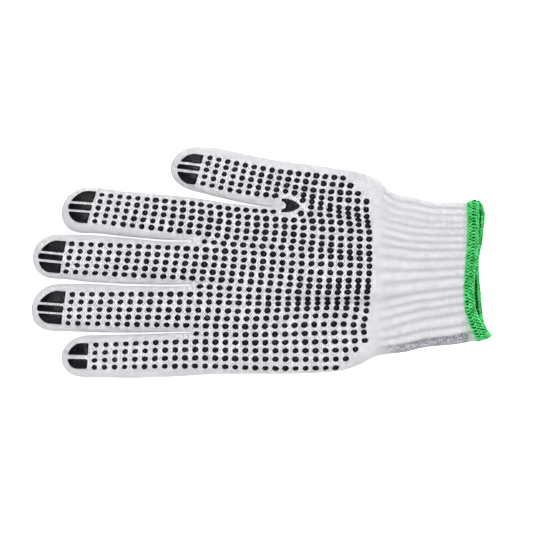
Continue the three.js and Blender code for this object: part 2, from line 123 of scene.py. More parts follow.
# Painted shade: a darker strip along the cuff's little finger side, where it is turned under and its
# side wall faces away from the light.
SHADE_STRIP_WIDTH = 4.4
SHADE_STRIP_EDGE = 1.2
SHADE_STRIP_START_X = 58
SHADE_STRIP_FADE_IN = 20
SHADE_STRIP_END_X = 114
SHADE_STRIP_FADE_OUT = 4

# Green lint on the knit beside the overlocked edge.
LINT_START_X = 106.5
LINT_LENGTH = 4.5
LINT_SHARE = 0.9

# Overlocked edge. On the glove its stitches are 1.1 mm apart: they are drawn coarser, to show.
HEM_DEPTH = 5.2
STITCH_PITCH = 1.75
THREAD_DIAMETER = 0.7
BED_LOWEST = 0.05

# The outer threads bulge where the flat mouth folds at its thumb side: how far, how far round, and
# how far off the knit a thread has to be for it.
HEM_BULGE = 1.3
HEM_BULGE_REACH = 4
HEM_BULGE_FROM = 0.2

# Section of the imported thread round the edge: how far past it, the side of the knit, how far off it.
HEM_BED = [
    (-5.0, "out", 0.1),
    (-4.9, "out", 0.45),
    (-4.4, "out", 0.62),
    (-2.6, "out", 0.66),
    (-0.6, "out", 0.66),
    (0.45, "out", 0.5),
    (0.85, "out", -0.1),
    (0.85, "in", -0.1),
    (0.45, "in", 0.45),
    (-0.6, "in", 0.6),
    (-4.4, "in", 0.6),
    (-4.9, "in", 0.1),
    (0.1, "in", 0.05),
    (0.1, "out", 0.05),
]

# The turns of each looping thread in one stitch: share of the stitch, and then as in the bed.
OVERLOCK_TURNS = [
    [(0.0, -5.3, "out", 0.6), (0.6, -3.8, "out", 0.95), (0.8, -4.5, "out", 0.3)],
    [(0.0, -1.9, "out", 0.9), (0.6, -3.5, "out", 0.95), (0.8, -2.7, "out", 0.3)],
    [(0.0, -1.6, "out", 0.95), (0.6, 0.1, "out", 0.85), (0.8, -0.8, "out", 0.3)],
    [
        (0.0, 0.2, "out", 0.75),
        (0.25, 1.15, "out", -0.3),
        (0.5, 0.6, "in", 0.55),
        (0.75, 1.2, "out", -0.4),
    ],
    [(0.0, -4.7, "in", 0.45), (0.5, -3.6, "in", 0.5)],
    [(0.25, -0.5, "in", 0.6), (0.75, 0.5, "in", 0.6)],
]
THREAD_STRAY = {"along": 0.07, "off": 0.04, "past": 0.12}

# Grip dots. Cut: how far below its middle the ball that makes a dome is cut, as a share of its width.
# Growth: distance from the digit's tip, and the share of the full size that a dot has there. Variety
# and heading: from and to, for a dot's length, width and height and for the way that its length points.
DOT_LENGTH = 3.5
DOT_WIDTH = 3.05
DOT_HEIGHT = 0.8
DOT_SUNK = 0.08
DOT_CUT = 0.2
DOT_UNEVENNESS = 0.5
DOT_GROWTH = [(25, 0.92), (75, 1.06)]
DOT_VARIETY = ((0.92, 0.9, 0.85), (1.07, 1.08, 1.1))
DOT_HEADING = ((1.0, -0.1, 0.0), (1.0, 0.5, 0.0))

# Printed pads. Raggedness: how far the ends wander, and their turns for a millimetre of place.
PAD_THICKNESS = 0.85
PAD_SUNK = 0.35
PAD_ROLL = 1.2
PAD_EDGE = (2.3, 2.3)
PAD_CORNER = 1.0
PAD_CORNER_SHARE = 0.35
PAD_SPREAD = 0.22
PAD_RAGGEDNESS = 0.11
PAD_END_TURNS = (7.3, 8.9)
PAD_ROUND_END = (1.7, 1.7)

# Knit: 13 needles to the inch, and its rows a third closer together than its columns.
WALE = 1.95
COURSE = 1.35

# Extra fabric that goes down a tube's side, how soon, and how the stitches crowd there.
SIDE_FABRIC = 3.6
SIDE_FABRIC_REACH = 0.9
SIDE_FABRIC_CROWDING = 0.6

# Rows of knit bend round a fingertip by this much.
TIP_ROW_BEND = 4

# Width of the grain in each material, and how deep its relief is. A real fibre is 0.02 mm wide and
# would not show, so fibres are drawn as tufts.
FIBRE_GRAIN = 0.67
SLUB_GRAIN = 1.43
SHADE_STRIP_GRAIN = 1.25
STITCH_RELIEF = 0.4
PRINT_GRAIN = 1.11
PRINT_CLOUD = 6.25
PRINT_RELIEF = 0.2
DOT_GRAIN = 1.43
THREAD_GRAIN = 0.45
THREAD_CLOUD = 2.2
THREAD_RELIEF = 0.2

# How a noise from 0 to 1 becomes a pattern: the gain, then the offset, of a Multiply Add node.
FIBRE_FUZZ = {1: 0.7, 2: -0.35}
SLUB_CONTRAST = {1: 2.4, 2: -0.7}
SHADE_STRIP_CONTRAST = {1: 4.0, 2: -1.5}
PRINT_CONTRAST = {1: 6.0, 2: -3.7}
PRINT_ROUGHNESS = {1: 0.3, 2: 0.1}
THREAD_CONTRAST = {1: 2.2, 2: -1.25}

# How much one pattern counts beside another: the cuff's shadow in the knit's colour, fibres in its
# relief, clouds in the print's relief and plies in the thread's colour.
GROOVE_SHADOW = 0.65
FIBRE_IN_RELIEF = 0.3
CLOUD_IN_RELIEF = 2.0
PLIES_IN_COLOUR = 0.6

# Cells of the fine mesh: across one finger, along the outer and inner surfaces, round the tips, and
# the last steps before a crotch.
ACROSS = 26
OUTER_STEP = 1.05
INNER_STEP = 3.5
OUTER_TIP_RINGS = 15
INNER_TIP_RINGS = 6
TIP_CROWDING = 1.9
CROTCH_STEPS = (-2.2, -1.5, -0.9, -0.4, -0.1, 0)

# Each digit from its root to its tip: x, side towards the thumb, side towards the little finger.
DIGIT_EDGES = {
    "thumb": [
        (5.7, 55.9, 30.1),
        (-6.2, 58.3, 31.8),
        (-17, 60.8, 34.0),
        (-27.8, 62.5, 36.6),
        (-36, 62.7, 38.6),
        (-49.1, 61.2, 40.6),
    ],
    "index": [
        (-37, 35.3, 12.1),
        (-49.4, 36.6, 12.3),
        (-71, 38.4, 14.0),
        (-93.7, 40.9, 16.1),
        (-108, 39.2, 14.6),
    ],
    "middle": [
        (-37, 11.5, -11.7),
        (-49.4, 11.5, -11.9),
        (-71, 13.3, -11.5),
        (-92.6, 15.0, -10.4),
        (-109.9, 15.5, -8.7),
        (-123.6, 15.0, -9.4),
    ],
    "ring": [
        (-37, -12.3, -37.2),
        (-49.4, -12.7, -37.4),
        (-71, -12.4, -37.8),
        (-92.6, -11.5, -37.5),
        (-109.9, -11.4, -37.0),
        (-124.3, -13.0, -38.2),
    ],
    "little": [
        (-37, -38.0, -61.0),
        (-49.4, -38.1, -61.7),
        (-71, -38.7, -62.3),
        (-92.6, -39.1, -62.0),
        (-108.1, -40.4, -62.4),
    ],
}

# Outer sides: x, y. The palm's thumb side is hidden where the thumb joins it.
PALM_THUMB_SIDE = [(-37, 35.3), (-26.7, 33.6), (-17, 32.0), (5.7, 30.1)]
HAND_THUMB_SIDE = [
    (-37, 62.7), (-17, 60.8), (5.7, 55.9), (25.1, 53.3), (42, 50.9), (51, 49.4), (58, 47.3),
    (64, 44.3), (70, 38.4), (74, 36.9), (82, 35.6), (92, 33.0), (104, 32.6), (116, 31.6),
]
HAND_LITTLE_SIDE = [
    (-37, -61), (-22, -60.2), (20.8, -59.9), (42.4, -58.4), (51, -55.9), (64, -49.9),
    (77, -48.3), (87, -45.9), (103, -43.8), (116, -40),
]

# Lines from each crotch down the palm: x, thumb-index, index-middle, middle-ring, ring-little.
CROTCH_LINES = [
    (-37, 30.1, 11.8, -12.0, -37.6),
    (5.7, 30.1, 8.8, -14.6, -38.4),
    (31.6, 28.2, 6.8, -16.6, -37.7),
    (57.5, 24.7, 4.9, -18.8, -37.3),
    (86, 17.9, 1.9, -14.5, -30.6),
    (116, 17.2, 2.7, -11.7, -26.2),
]

# Palm: x, height of the hand, rise of its middle, and the two flanks of that rise.
PALM_RELIEF = [
    (-37, 11.8, 0, 33, -18),
    (-8, 12.6, 0.3, 32, -18),
    (14, 13.2, 1.6, 31, -18.5),
    (38, 13.6, 3.8, 27, -19),
    (57, 13.4, 4.2, 20.5, -19),
    (78, 13, 1.2, 16, -18),
    (96, 13, 0, 14, -17),
    (116, 13.4, 0, 14, -17),
]

# How far the knit reaches at the mouth: y, palm layer, back layer.
MOUTH_EDGE = [
    (32.6, 116.2, 117.8),
    (26, 115.3, 119.6),
    (12, 115, 118.4),
    (0, 113.8, 116.6),
    (-14, 112.8, 117.4),
    (-24, 113.4, 118.2),
    (-33, 117, 119.4),
    (-42, 122.8, 123.8),
]

# Knitted columns counted as a width of fabric, from the thumb's outer side to the hand's other side,
# at each line that the fabric is divided by, and half the fabric of a digit's palm side.
WALE_LINES = [68, 38, 11.8, -12, -37.6, -64.5]
DIGIT_HALF_ARC = 15.2

# Grooves between the cuff's ribs, across its five strips from 0 at the thumb side to 5.
RIB_GROOVES = [
    -0.05, 0.22, 0.47, 0.72, 0.95, 1.19, 1.45, 1.7, 2.03, 2.36, 2.68, 3.08, 3.38, 3.67, 3.98,
    4.38, 4.7, 5.05,
]

# Rows of grip dots: the digit that a row starts on, its number of dots, and points on its path.
DOT_ROWS = [
    ("thumb", 16, [(-27.6, 56.3), (-11.6, 52.9), (10, 49), (31.6, 46.5), (43.8, 45.4)]),
    ("thumb", 17, [(-28.6, 53.2), (-11.6, 49.4), (10, 45.3), (31.6, 42.6), (47.7, 41.3)]),
    ("thumb", 18, [(-29.5, 49.8), (-11.6, 45.6), (10, 42), (31.6, 38.5), (51.8, 37.1)]),
    ("thumb", 19, [(-30.5, 46.1), (-11.6, 41.8), (10, 38.8), (31.6, 34.9), (56.4, 32.8)]),
    ("thumb", 9, [(-31.4, 42.5), (-11.6, 38.2), (7.3, 35.9)]),
    ("palm", 8, [(22.2, 33.4), (31.6, 31.9), (42.4, 29.6), (56.2, 28.5)]),
    ("palm", 7, [(26.6, 29.7), (31.6, 29.2), (42.4, 27.1), (56.5, 24.7)]),
    ("index", 20, [(-85.7, 36.5), (-33.2, 31.3), (-11.6, 28.5), (6.3, 27.4)]),
    ("palm", 8, [(21.1, 26.3), (31.6, 25.7), (42.4, 24.7), (57, 22)]),
    ("index", 30, [(-86.6, 32.9), (-33.2, 27.4), (-11.6, 24.8), (10, 23.1), (42.4, 21.4), (57, 19.6)]),
    ("index", 30, [(-87.5, 29.3), (-33.2, 23.6), (-11.6, 21), (10, 19.5), (42.4, 17.4), (57.6, 16.3)]),
    ("index", 30, [(-88.6, 25.8), (-33.2, 19.7), (-11.6, 17.2), (10, 15.8), (42.4, 13), (57.6, 12.6)]),
    ("index", 30, [(-89.5, 22.3), (-33.2, 15.9), (-11.6, 13.4), (10, 12.2), (42.4, 9.3), (57.5, 8.5)]),
    ("palm", 18, [(-30.6, 11.4), (-11.6, 9.6), (10, 8.3), (31.6, 6.8), (57.6, 4.9)]),
    ("middle", 32, [(-101.8, 10.2), (-33.2, 7.3), (-11.6, 5.6), (10, 4.3), (42.4, 2.9), (57.7, 1.7)]),
    ("middle", 32, [(-102.3, 6.3), (-33.2, 3.2), (-11.6, 1.6), (10, 0.1), (42.4, -1.1), (57.7, -1.9)]),
    ("middle", 32, [(-103.1, 2.7), (-33.2, -0.8), (10, -3.7), (31.6, -5.2), (57.5, -5.7)]),
    ("middle", 32, [(-104, -1.1), (-33.2, -4.7), (10, -7.4), (31.6, -9.4), (57, -9.6)]),
    ("middle", 32, [(-105, -4.8), (-33.2, -8.5), (10, -11.2), (31.6, -12.7), (57, -12.7)]),
    ("palm", 18, [(-33, -12.7), (-11.6, -14.1), (10, -15.1), (31.6, -16), (56.6, -15.4)]),
    ("ring", 31, [(-101.5, -17), (-33.2, -16.9), (-11.6, -18.1), (31.6, -19.3), (56.4, -18.8)]),
    ("ring", 31, [(-102.1, -21), (-33.2, -21.1), (10, -22), (42.4, -21.5), (56.6, -22.1)]),
    ("ring", 31, [(-102.7, -25.1), (-33.2, -25.4), (-11.6, -26), (42.4, -24.2), (56.2, -25.8)]),
    ("ring", 31, [(-103.1, -28.9), (-33.2, -29.6), (-11.6, -30.1), (42.4, -28.2), (55.5, -30.1)]),
    ("ring", 31, [(-103.8, -32.5), (-33.2, -33.8), (-11.6, -34.3), (42.4, -32.9), (54.7, -33.8)]),
    ("palm", 18, [(-35, -38.1), (-11.6, -38.6), (10, -38.3), (31.6, -37.7), (55, -37.3)]),
    ("little", 28, [(-88.8, -44.1), (-33.2, -42.4), (-11.6, -42.9), (31.6, -42.4), (55.5, -41.7)]),
    ("little", 27, [(-89.2, -48.3), (-33.2, -46.6), (-11.6, -47.1), (31.6, -47.1), (50.5, -46.5)]),
    ("little", 26, [(-89.5, -52.4), (-33.2, -51), (-11.6, -51.5), (31.6, -51.8), (45.3, -51.5)]),
    ("little", 25, [(-89.7, -56.2), (-33.2, -55.5), (-11.6, -56.2), (10, -56.8), (39.9, -56.5)]),
]

# The print on each fingertip: the middle of its round end, the turn of its axis, its half width, reach
# and lean of the round end, length and lean of the straight end, and its bars as shares across it.
TIP_PRINTS = {
    "thumb": {
        "place": (-45.2, 51.4),
        "turn": 0.129,
        "half_width": 8,
        "round": (7.7, 0.085),
        "straight": (12, 0.155),
        "bars": {"outer": (0.42, 1), "centre": (-0.08, 0.21), "inner": (-1, -0.31)},
    },
    "index": {
        "place": (-103.5, 30.6),
        "turn": 0.077,
        "half_width": 8.5,
        "round": (7.7, 0.2),
        "straight": (12.3, 0.2),
        "bars": {"outer": (0.33, 1), "centre": (-0.19, 0.14), "inner": (-1, -0.37)},
    },
    "middle": {
        "place": (-119.7, 4.2),
        "turn": 0.1,
        "half_width": 8.55,
        "round": (7.65, 0.17),
        "straight": (13.1, 0.105),
        "bars": {"outer": (0.29, 1), "centre": (-0.22, 0.11), "inner": (-1, -0.415)},
    },
    "ring": {
        "place": (-120.2, -23.3),
        "turn": 0.07,
        "half_width": 8.75,
        "round": (8.05, 0.185),
        "straight": (13.85, 0.075),
        "bars": {"outer": (0.28, 1), "centre": (-0.28, 0.095), "inner": (-1, -0.44)},
    },
    "little": {
        "place": (-104.2, -50),
        "turn": 0.01,
        "half_width": 6.75,
        "round": (5.6, 0.15),
        "straight": (10.85, 0.075),
        "bars": {"outer": (0.11, 1), "inner": (-1, -0.26)},
    },
}

# The arrowhead behind the thumb's crotch, the shares of its half width that are printed and notched,
# the powers that round its notch and its point, and the lean of the point.
CROTCH_PRINT = {
    "x": 10.9,
    "y": 30.7,
    "length": 9.7,
    "half_width": 3.8,
    "printed": 0.98,
    "notch": 2.4,
    "notch_share": 0.62,
    "notch_rounding": (2, 1.4),
    "point_rounding": (1.3, 2.3),
    "lean": 0.08,
}

# From the tables' zero to the part's own: its box is centred on the origin.
shell_low, shell_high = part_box("knit_shell")
TABLES_LOW_X = -124.3
TABLES_HIGH_Y = 62.7
SHIFT = np.array(
    [
        shell_low.x * MILLIMETRES_PER_METRE - TABLES_LOW_X,
        shell_high.y * MILLIMETRES_PER_METRE - TABLES_HIGH_Y,
        0.0,
    ]
)


def clamp01(t):
    return np.clip(t, 0.0, 1.0)


def mix(a, b, t):
    return a + (b - a) * t


def smooth(t):
    t = clamp01(t)
    return t * t * (3 - 2 * t)


def superellipse(u, p, q):
    return np.maximum(0.0, 1 - np.abs(u) ** p) ** (1 / q)


def curve(rows, column=1):
    """A smooth curve through one column of a table that never overshoots its rows."""
    points = np.array(sorted((row[0], row[column]) for row in rows), float)
    xs, ys = points.T
    slopes = np.diff(ys) / np.diff(xs)
    before = np.r_[slopes[0], slopes]
    after = np.r_[slopes, slopes[-1]]
    same_way = before * after > 0
    total = np.where(same_way, before + after, 1)
    tangents = np.where(same_way, 2 * before * after / total, 0)

    def value(at):
        x = np.clip(at, xs[0], xs[-1])
        i = np.clip(np.searchsorted(xs, x, side="right") - 1, 0, len(xs) - 2)
        step = xs[i + 1] - xs[i]
        t = (x - xs[i]) / step
        bend = t * (1 - t) * step * ((1 - t) * tangents[i] - t * tangents[i + 1])
        return mix(ys[i], ys[i + 1], t * t * (3 - 2 * t)) + bend

    return value


thumb_index, index_middle, middle_ring, ring_little = (curve(CROTCH_LINES, i) for i in (1, 2, 3, 4))
hand_height, fold_rise, thumb_flank, little_flank = (curve(PALM_RELIEF, i) for i in (1, 2, 3, 4))
mouth_edges = {"top": curve(MOUTH_EDGE, 1), "bottom": curve(MOUTH_EDGE, 2)}
palm_thumb_side = curve(PALM_THUMB_SIDE)
hand_thumb_side = curve(HAND_THUMB_SIDE)
hand_little_side = curve(HAND_LITTLE_SIDE)


class Tube:
    """A tube of the glove: its sides, the lines that divide it, and how it joins its parent."""

    def __init__(self, high, low, lines, wales, parent=None, end=None, blend=None, seams=(None, None)):
        self.high = high
        self.low = low
        self.lines = lines
        self.wales = wales
        self.parent = parent
        self.end = end
        self.blend = blend
        self.seams = seams
        self.tip = None
        self.height = None

    def joined(self, x):
        return smooth(1 + (x - self.end) / self.blend) if self.parent else 0.0 * x

    def full_height(self, x):
        return hand_height(x) if self.tip is None else mix(self.height, hand_height(x), self.joined(x))

    def tip_share(self, x, inset=0.0):
        if self.tip is None:
            return 1.0 + 0.0 * x
        return clamp01((x - self.tip - inset) / (TIP_LENGTH - inset))


def digit(name, height, parent, end, blend, seams, wales):
    """One digit, with its sides from its table and its count of knitted columns about its middle."""
    rows = DIGIT_EDGES[name]
    middle = (wales[0] + wales[1]) / 2
    own_wales = [middle + DIGIT_HALF_ARC, middle - DIGIT_HALF_ARC]
    tube = Tube(curve(rows, 1), curve(rows, 2), [], own_wales, parent, end, blend, seams)
    tube.tip = rows[-1][0]
    tube.height = height
    return tube


hand = Tube(
    hand_thumb_side, hand_little_side, [thumb_index, index_middle, middle_ring, ring_little], WALE_LINES
)
palm = Tube(
    palm_thumb_side,
    hand_little_side,
    [index_middle, middle_ring, ring_little],
    WALE_LINES[1:],
    hand,
    THUMB_CROTCH_X,
    THUMB_BLEND,
    (thumb_index, None),
)
SEAM_LINES = [None, index_middle, middle_ring, ring_little, None]
thumb = digit("thumb", THUMB_HEIGHT, hand, THUMB_CROTCH_X, THUMB_BLEND, (None, thumb_index), WALE_LINES)
tubes = {"thumb": thumb}
for place, name in enumerate(("index", "middle", "ring", "little")):
    seams = (SEAM_LINES[place], SEAM_LINES[place + 1])
    wales = WALE_LINES[place + 1 : place + 3]
    tubes[name] = digit(name, FINGER_HEIGHT, palm, CROTCH_X, FINGER_BLEND, seams, wales)


def crease(x, y):
    """Depth of the groove behind each crotch, fading down the palm."""
    depth = 0.0
    for line in (thumb_index, index_middle, middle_ring, ring_little):
        start = THUMB_CROTCH_X if line is thumb_index else CROTCH_X
        before = smooth(1 + (x - start) / THUMB_BLEND)
        along = np.where(x < start, before, np.exp(np.minimum(0, start - x) / CREASE_LENGTH))
        across = np.exp(-2 * ((y - line(x)) / CREASE_HALF_WIDTH) ** 2)
        depth = np.maximum(depth, along * across)
    return CREASE_DEPTH * depth


def fold_relief(x, y):
    """The raised middle of the palm between its two lengthwise flanks."""
    above_little = smooth((y - little_flank(x)) / FOLD_SLOPE + 0.5)
    above_thumb = smooth((y - thumb_flank(x)) / FOLD_SLOPE + 0.5)
    return fold_rise(x) * (above_little - above_thumb - FOLD_SUNK_SHARE)


def unevenness(x, y):
    """The slight unevenness of limp knit: broad swells and a few soft puckers."""
    total = 0.0
    for height, *waves in SWELLS:
        first, second = (np.sin(along * x + across * y + phase) for along, across, phase in waves)
        total = total + height * (first * second)
    return total


def mouth_lift(x):
    """How far the cuff lifts off the table towards its mouth."""
    return MOUTH_LIFT * smooth((x - MOUTH_LIFT_START_X) / MOUTH_LIFT_LENGTH)


def round_tube(y, high, low, height):
    """Palm-side and underside heights of a rounded tube."""
    radius = np.minimum(SIDE_ROUND, (high - low) / 2)
    inside = np.minimum(radius, np.maximum(0, np.minimum(high - y, y - low)))
    u = 1 - inside / radius
    side = SIDE_SHARE * height
    top = side + (height - side) * superellipse(u, *PALM_ROUNDING)
    bottom = np.maximum(0, side * (1 - BACK_FLATNESS * superellipse(u, *BACK_ROUNDING)))
    return top, bottom


def palm_heights(x, y, high, low):
    """Palm-side and underside heights of the hand, with its fold and its creases."""
    top, bottom = round_tube(y, high, low, hand_height(x))
    u = (2 * y - high - low) / (high - low)
    groove = crease(x, y)
    top = top + superellipse(u, *FOLD_FADE) * fold_relief(x, y) - groove
    bottom = bottom + BACK_CREASE_SHARE * groove + mouth_lift(x)
    return top, bottom


def heights_at(tube, x, y):
    """A tube's two heights at a point, without the rounding of its tip."""
    high, low = tube.high(x), tube.low(x)
    if tube.tip is None:
        top, bottom = palm_heights(x, y, high, low)
    else:
        top, bottom = round_tube(y, high, low, tube.height)
    if tube.parent:
        other_top, other_bottom = palm_heights(x, y, tube.parent.high(x), tube.parent.low(x))
        top = mix(top, other_top, tube.joined(x))
        bottom = mix(bottom, other_bottom, tube.joined(x))
    inside = superellipse((2 * y - high - low) / (high - low), *SWELL_FADE)
    return top + unevenness(x, y) * inside, bottom


def arc(distance):
    """Length of fabric from a tube's side to a distance in from it."""
    crowded = (distance / SIDE_FABRIC_REACH) ** SIDE_FABRIC_CROWDING
    return distance + SIDE_FABRIC * (1 - np.exp(-crowded))


def wale_at(tube, x, y):
    """Which knitted column runs through a point, as a width of fabric in millimetres."""
    bounds = [tube.high(x), *(line(x) for line in tube.lines), tube.low(x)]
    value = np.full(np.shape(y), float(tube.wales[0]))
    last = len(bounds) - 2
    for strip, (high, low) in enumerate(zip(bounds, bounds[1:])):
        width = high - low
        d = np.clip(high - y, 0, width)
        if tube.tip is not None:
            near = np.minimum(d, width - d)
            half = 0.5 * arc(near) / arc(width / 2)
            share = np.where(d < width / 2, half, 1 - half)
        elif strip == 0:
            share = arc(d) / arc(width)
        elif strip == last:
            share = 1 - arc(width - d) / arc(width)
        else:
            share = d / width
        value = np.where(y <= high, mix(tube.wales[strip], tube.wales[strip + 1], share), value)
    if tube.parent:
        value = mix(value, wale_at(tube.parent, x, y), tube.joined(x))
    return value


def rib_profile(x, y):
    """Height of the cuff's ribs and how deep in a groove between them a point is, from 0 to 1."""
    bounds = [hand.low(x), *(line(x) for line in reversed(hand.lines)), hand.high(x)]
    strip = len(bounds) - 1 - np.interp(y, bounds, range(len(bounds)))
    turn = np.interp(strip, RIB_GROOVES, range(len(RIB_GROOVES)))
    ridge = np.abs(np.sin(math.pi * turn)) ** RIB_ROUNDING
    present = smooth((x - RIB_START_X) / (RIB_FULL_X - RIB_START_X))
    return RIB_HEIGHT * present * ridge, present * (1 - ridge)


def skewed(x, y, layer):
    """The mouth's edge is uneven, so the sections near it are skewed to follow it."""
    share = clamp01((x - MOUTH_SKEW_START_X) / (MOUTH_X - MOUTH_SKEW_START_X))
    return x + (mouth_edges[layer](y) - MOUTH_X) * share


def places_across(tube, x, inset, side_step):
    """Where the points of a section lie, from 1 at its thumb side to -1, closer at its sides."""
    high, low = tube.high(x), tube.low(x)
    middle, full = (high + low) / 2, (high - low) / 2
    ends = [1 - side_step, *((line(x) - middle) / full for line in tube.lines), side_step - 1]
    places = []
    for strip in range(len(ends) - 1):
        k = np.arange(2 if strip else 1, ACROSS)
        even = (k - 1) / (ACROSS - 2)
        if tube.tip is None and strip == 0:
            even = 1 - np.cos(math.pi / 2 * even)
        elif tube.tip is None and strip == len(ends) - 2:
            even = np.sin(math.pi / 2 * even)
        place = mix(ends[strip], ends[strip + 1], even)
        if tube.tip is not None:
            place = mix(np.cos(math.pi * k / ACROSS), place, tube.joined(x - inset))
        places.append(place)
    return np.concatenate(places)


def cross_section(tube, x, inset):
    """One section of a tube: x, y, z, knitted column, knitted row and groove of each of its points."""
    high, low = tube.high(x), tube.low(x)
    middle, full = (high + low) / 2, (high - low) / 2
    share = tube.tip_share(x, inset)
    half = (full - inset) * superellipse(1 - share, *TIP_OUTLINE)
    rise = superellipse(1 - share, *TIP_PROFILE)
    closed = clamp01(1 + (x - tube.end - inset) / CROTCH_FILLET) if tube.parent else 0.0
    closing = 1 - math.sqrt(1 - closed**2)
    side = SIDE_SHARE * tube.full_height(x) + mouth_lift(x)
    side_step = (1 - math.cos(math.pi / ACROSS)) * min(SIDE_ROUND, full) / full
    u = places_across(tube, x, inset, side_step)

    # Towards a crotch the sides of neighbours move together, onto the seam between them.
    seam_high, seam_low = tube.seams
    shift_high = closing * (seam_high(x) - middle - half) if seam_high else 0.0
    shift_low = closing * (seam_low(x) - middle + half) if seam_low else 0.0
    y = middle + half * u + mix(shift_low, shift_high, (u + 1) / 2)
    if closing == 1:
        on_seam = np.abs(u) > 1 - 1.5 * side_step
        if seam_high:
            y = np.where(on_seam & (u > 0), seam_high(x), y)
        if seam_low:
            y = np.where(on_seam & (u < 0), seam_low(x), y)
    full_y = mix(y, middle + full * u, 1 - closing)

    row = x - TIP_ROW_BEND * (1 - share) ** 4
    wale = wale_at(tube, x, full_y)
    if tube is hand:
        rib, groove = rib_profile(x, y)
    else:
        rib = groove = np.zeros_like(y)
    if inset:
        rib = RIB_INNER_SHARE * rib
    tops, bottoms = heights_at(tube, x, full_y)
    fade = superellipse(u, *RIB_FADE)
    top_z = side + ((tops - side) - inset) * rise + rib * fade
    bottom_z = side - (((side - bottoms) - inset) * rise) + (BACK_RIB_LIFT - rib) * (rib > 0) * fade
    rows = np.full_like(y, row)
    section = {}
    for layer, z in (("top", top_z), ("bottom", bottom_z)):
        section[layer] = np.stack([skewed(x, y, layer) + 0 * y, y, z, wale, rows, groove], 1)
    for key, sign, shift in (("high", 1, shift_high), ("low", -1, shift_low)):
        at = middle + sign * half + shift
        out = 0.5 * (skewed(x, at, "top") + skewed(x, at, "bottom"))
        side_wale = wale_at(tube, x, np.array([middle + sign * full if closing < 1 else at]))[0]
        section[key] = np.array([[out, at, side, side_wale, row, 0.0]])
    return section


def ring_of(section):
    return np.concatenate([section["high"], section["top"], section["low"], section["bottom"][::-1]])


def join_sections(sections):
    """The section that neighbours form where they meet, without the walls between them."""
    joined = {"high": sections[0]["high"], "low": sections[-1]["low"]}
    for key in ("top", "bottom"):
        parts = [section[key][1:] if i else section[key] for i, section in enumerate(sections)]
        joined[key] = np.concatenate(parts)
    return joined


class Weave:
    """Points and faces of a mesh that is made ring by ring."""

    def __init__(self):
        self.points = []
        self.count = 0
        self.faces = []

    def ring(self, points):
        first = self.count
        self.points.append(points)
        self.count += len(points)
        return np.arange(first, self.count)

    def band(self, first, second, inward=False):
        quads = np.stack([first, np.roll(first, -1), np.roll(second, -1), second], 1)
        self.faces += (quads[:, ::-1] if inward else quads).tolist()

    def fan(self, apex, ring, inward=False):
        triangles = np.stack([np.full(len(ring), apex), np.roll(ring, -1), ring], 1)
        self.faces += (triangles[:, ::-1] if inward else triangles).tolist()


def stations(start, end, step):
    """Places from start to end, without start itself, about a step apart."""
    return np.linspace(start, end, max(2, round(abs(end - start) / step) + 1))[1:]


def knit_surface(weave, inset, step, tip_count):
    """The outer or inner surface of the whole glove. Returns its ring at the mouth."""
    inward = inset > 0

    def run(section, tube, xs):
        ring = weave.ring(ring_of(section))
        for x in xs:
            section = cross_section(tube, x, inset)
            following = weave.ring(ring_of(section))
            weave.band(ring, following, inward)
            ring = following
        return section, ring

    def closing_of(tube):
        return tube.end + inset + np.array(CROTCH_STEPS)

    ends = {}
    for name, tube in tubes.items():
        tip_x = tube.tip + inset
        shoulder = tube.tip + TIP_LENGTH
        root = tube.end + inset - CROTCH_FILLET
        shares = (np.arange(1, tip_count + 1) / tip_count) ** TIP_CROWDING
        first, *xs = np.r_[
            mix(tip_x, shoulder, shares), stations(shoulder, root, step), closing_of(tube)
        ]
        section = cross_section(tube, first, inset)
        ring = ring_of(section)
        apex_point = [tip_x, (tube.high(tip_x) + tube.low(tip_x)) / 2, section["high"][0, 2]]
        apex = weave.ring(np.array([[*apex_point, ring[:, 3].mean(), section["high"][0, 4], 0.0]]))[0]
        weave.fan(apex, np.arange(weave.count, weave.count + len(ring)), inward)
        ends[name] = run(section, tube, xs)[0]
    roots = join_sections([ends[name] for name in ("index", "middle", "ring", "little")])
    palm_root = palm.end + inset - CROTCH_FILLET
    palm_xs = np.r_[stations(CROTCH_X + inset, palm_root, step), closing_of(palm)]
    palm_end = run(roots, palm, palm_xs)[0]
    whole = join_sections([ends["thumb"], palm_end])
    return run(whole, hand, stations(THUMB_CROTCH_X + inset, MOUTH_X, step))[1]


def linear(hex_colour):
    """An sRGB colour like "#a0b1c2" as linear red, green, blue and alpha."""
    parts = [int(hex_colour[i : i + 2], 16) / 255 for i in (1, 3, 5)]
    return (*(c / 12.92 if c <= 0.04045 else ((c + 0.055) / 1.055) ** 2.4 for c in parts), 1.0)


def add(tree, kind, inputs=None, **settings):
    """Adds a node, with its settings and with its inputs set to a value or linked to a socket."""
    node = tree.nodes.new(kind)
    for name, value in settings.items():
        setattr(node, name, value)
    for name, value in (inputs or {}).items():
        if isinstance(value, bpy.types.Node):
            value = value.outputs[0]
        if isinstance(value, bpy.types.NodeSocket):
            tree.links.new(value, node.inputs[name])
        else:
            node.inputs[name].default_value = value
    return node


def new_material(name, **values):
    """A material with the constant values of its shader. Returns it, its tree and its shader."""
    material = bpy.data.materials.new(name)
    material.use_nodes = True
    tree = material.node_tree
    shader = tree.nodes["Principled BSDF"]
    for socket, value in values.items():
        shader.inputs[socket.replace("_", " ")].default_value = value
    return material, tree, shader


# Sockets of a Mix node that mixes two colours.
FIRST_COLOUR, SECOND_COLOUR, MIXED_COLOUR = 6, 7, 2

# A stitch is a V of two legs. From the column's middle to a leg, as a share of the column, how narrow
# the legs are, and how much each loop rises over the one below.
LEG_PLACE = 0.2
LEG_NARROWNESS = 1.8
LOOP_RISE = 0.7

# The holes between loops, as shares of a stitch: radius, steepness of the sides, the least that one
# is open and how much more it may be. Where the knit turns to the cuff's ribs they draw together.
HOLE_RADIUS = 0.512
HOLE_STEEPNESS = 2.5
HOLE_LEAST = 0.13
HOLE_VARIETY = 0.9
TIGHTER = {"From Min": 50.0, "From Max": 72.0, "To Min": 1.0, "To Max": 0.6}


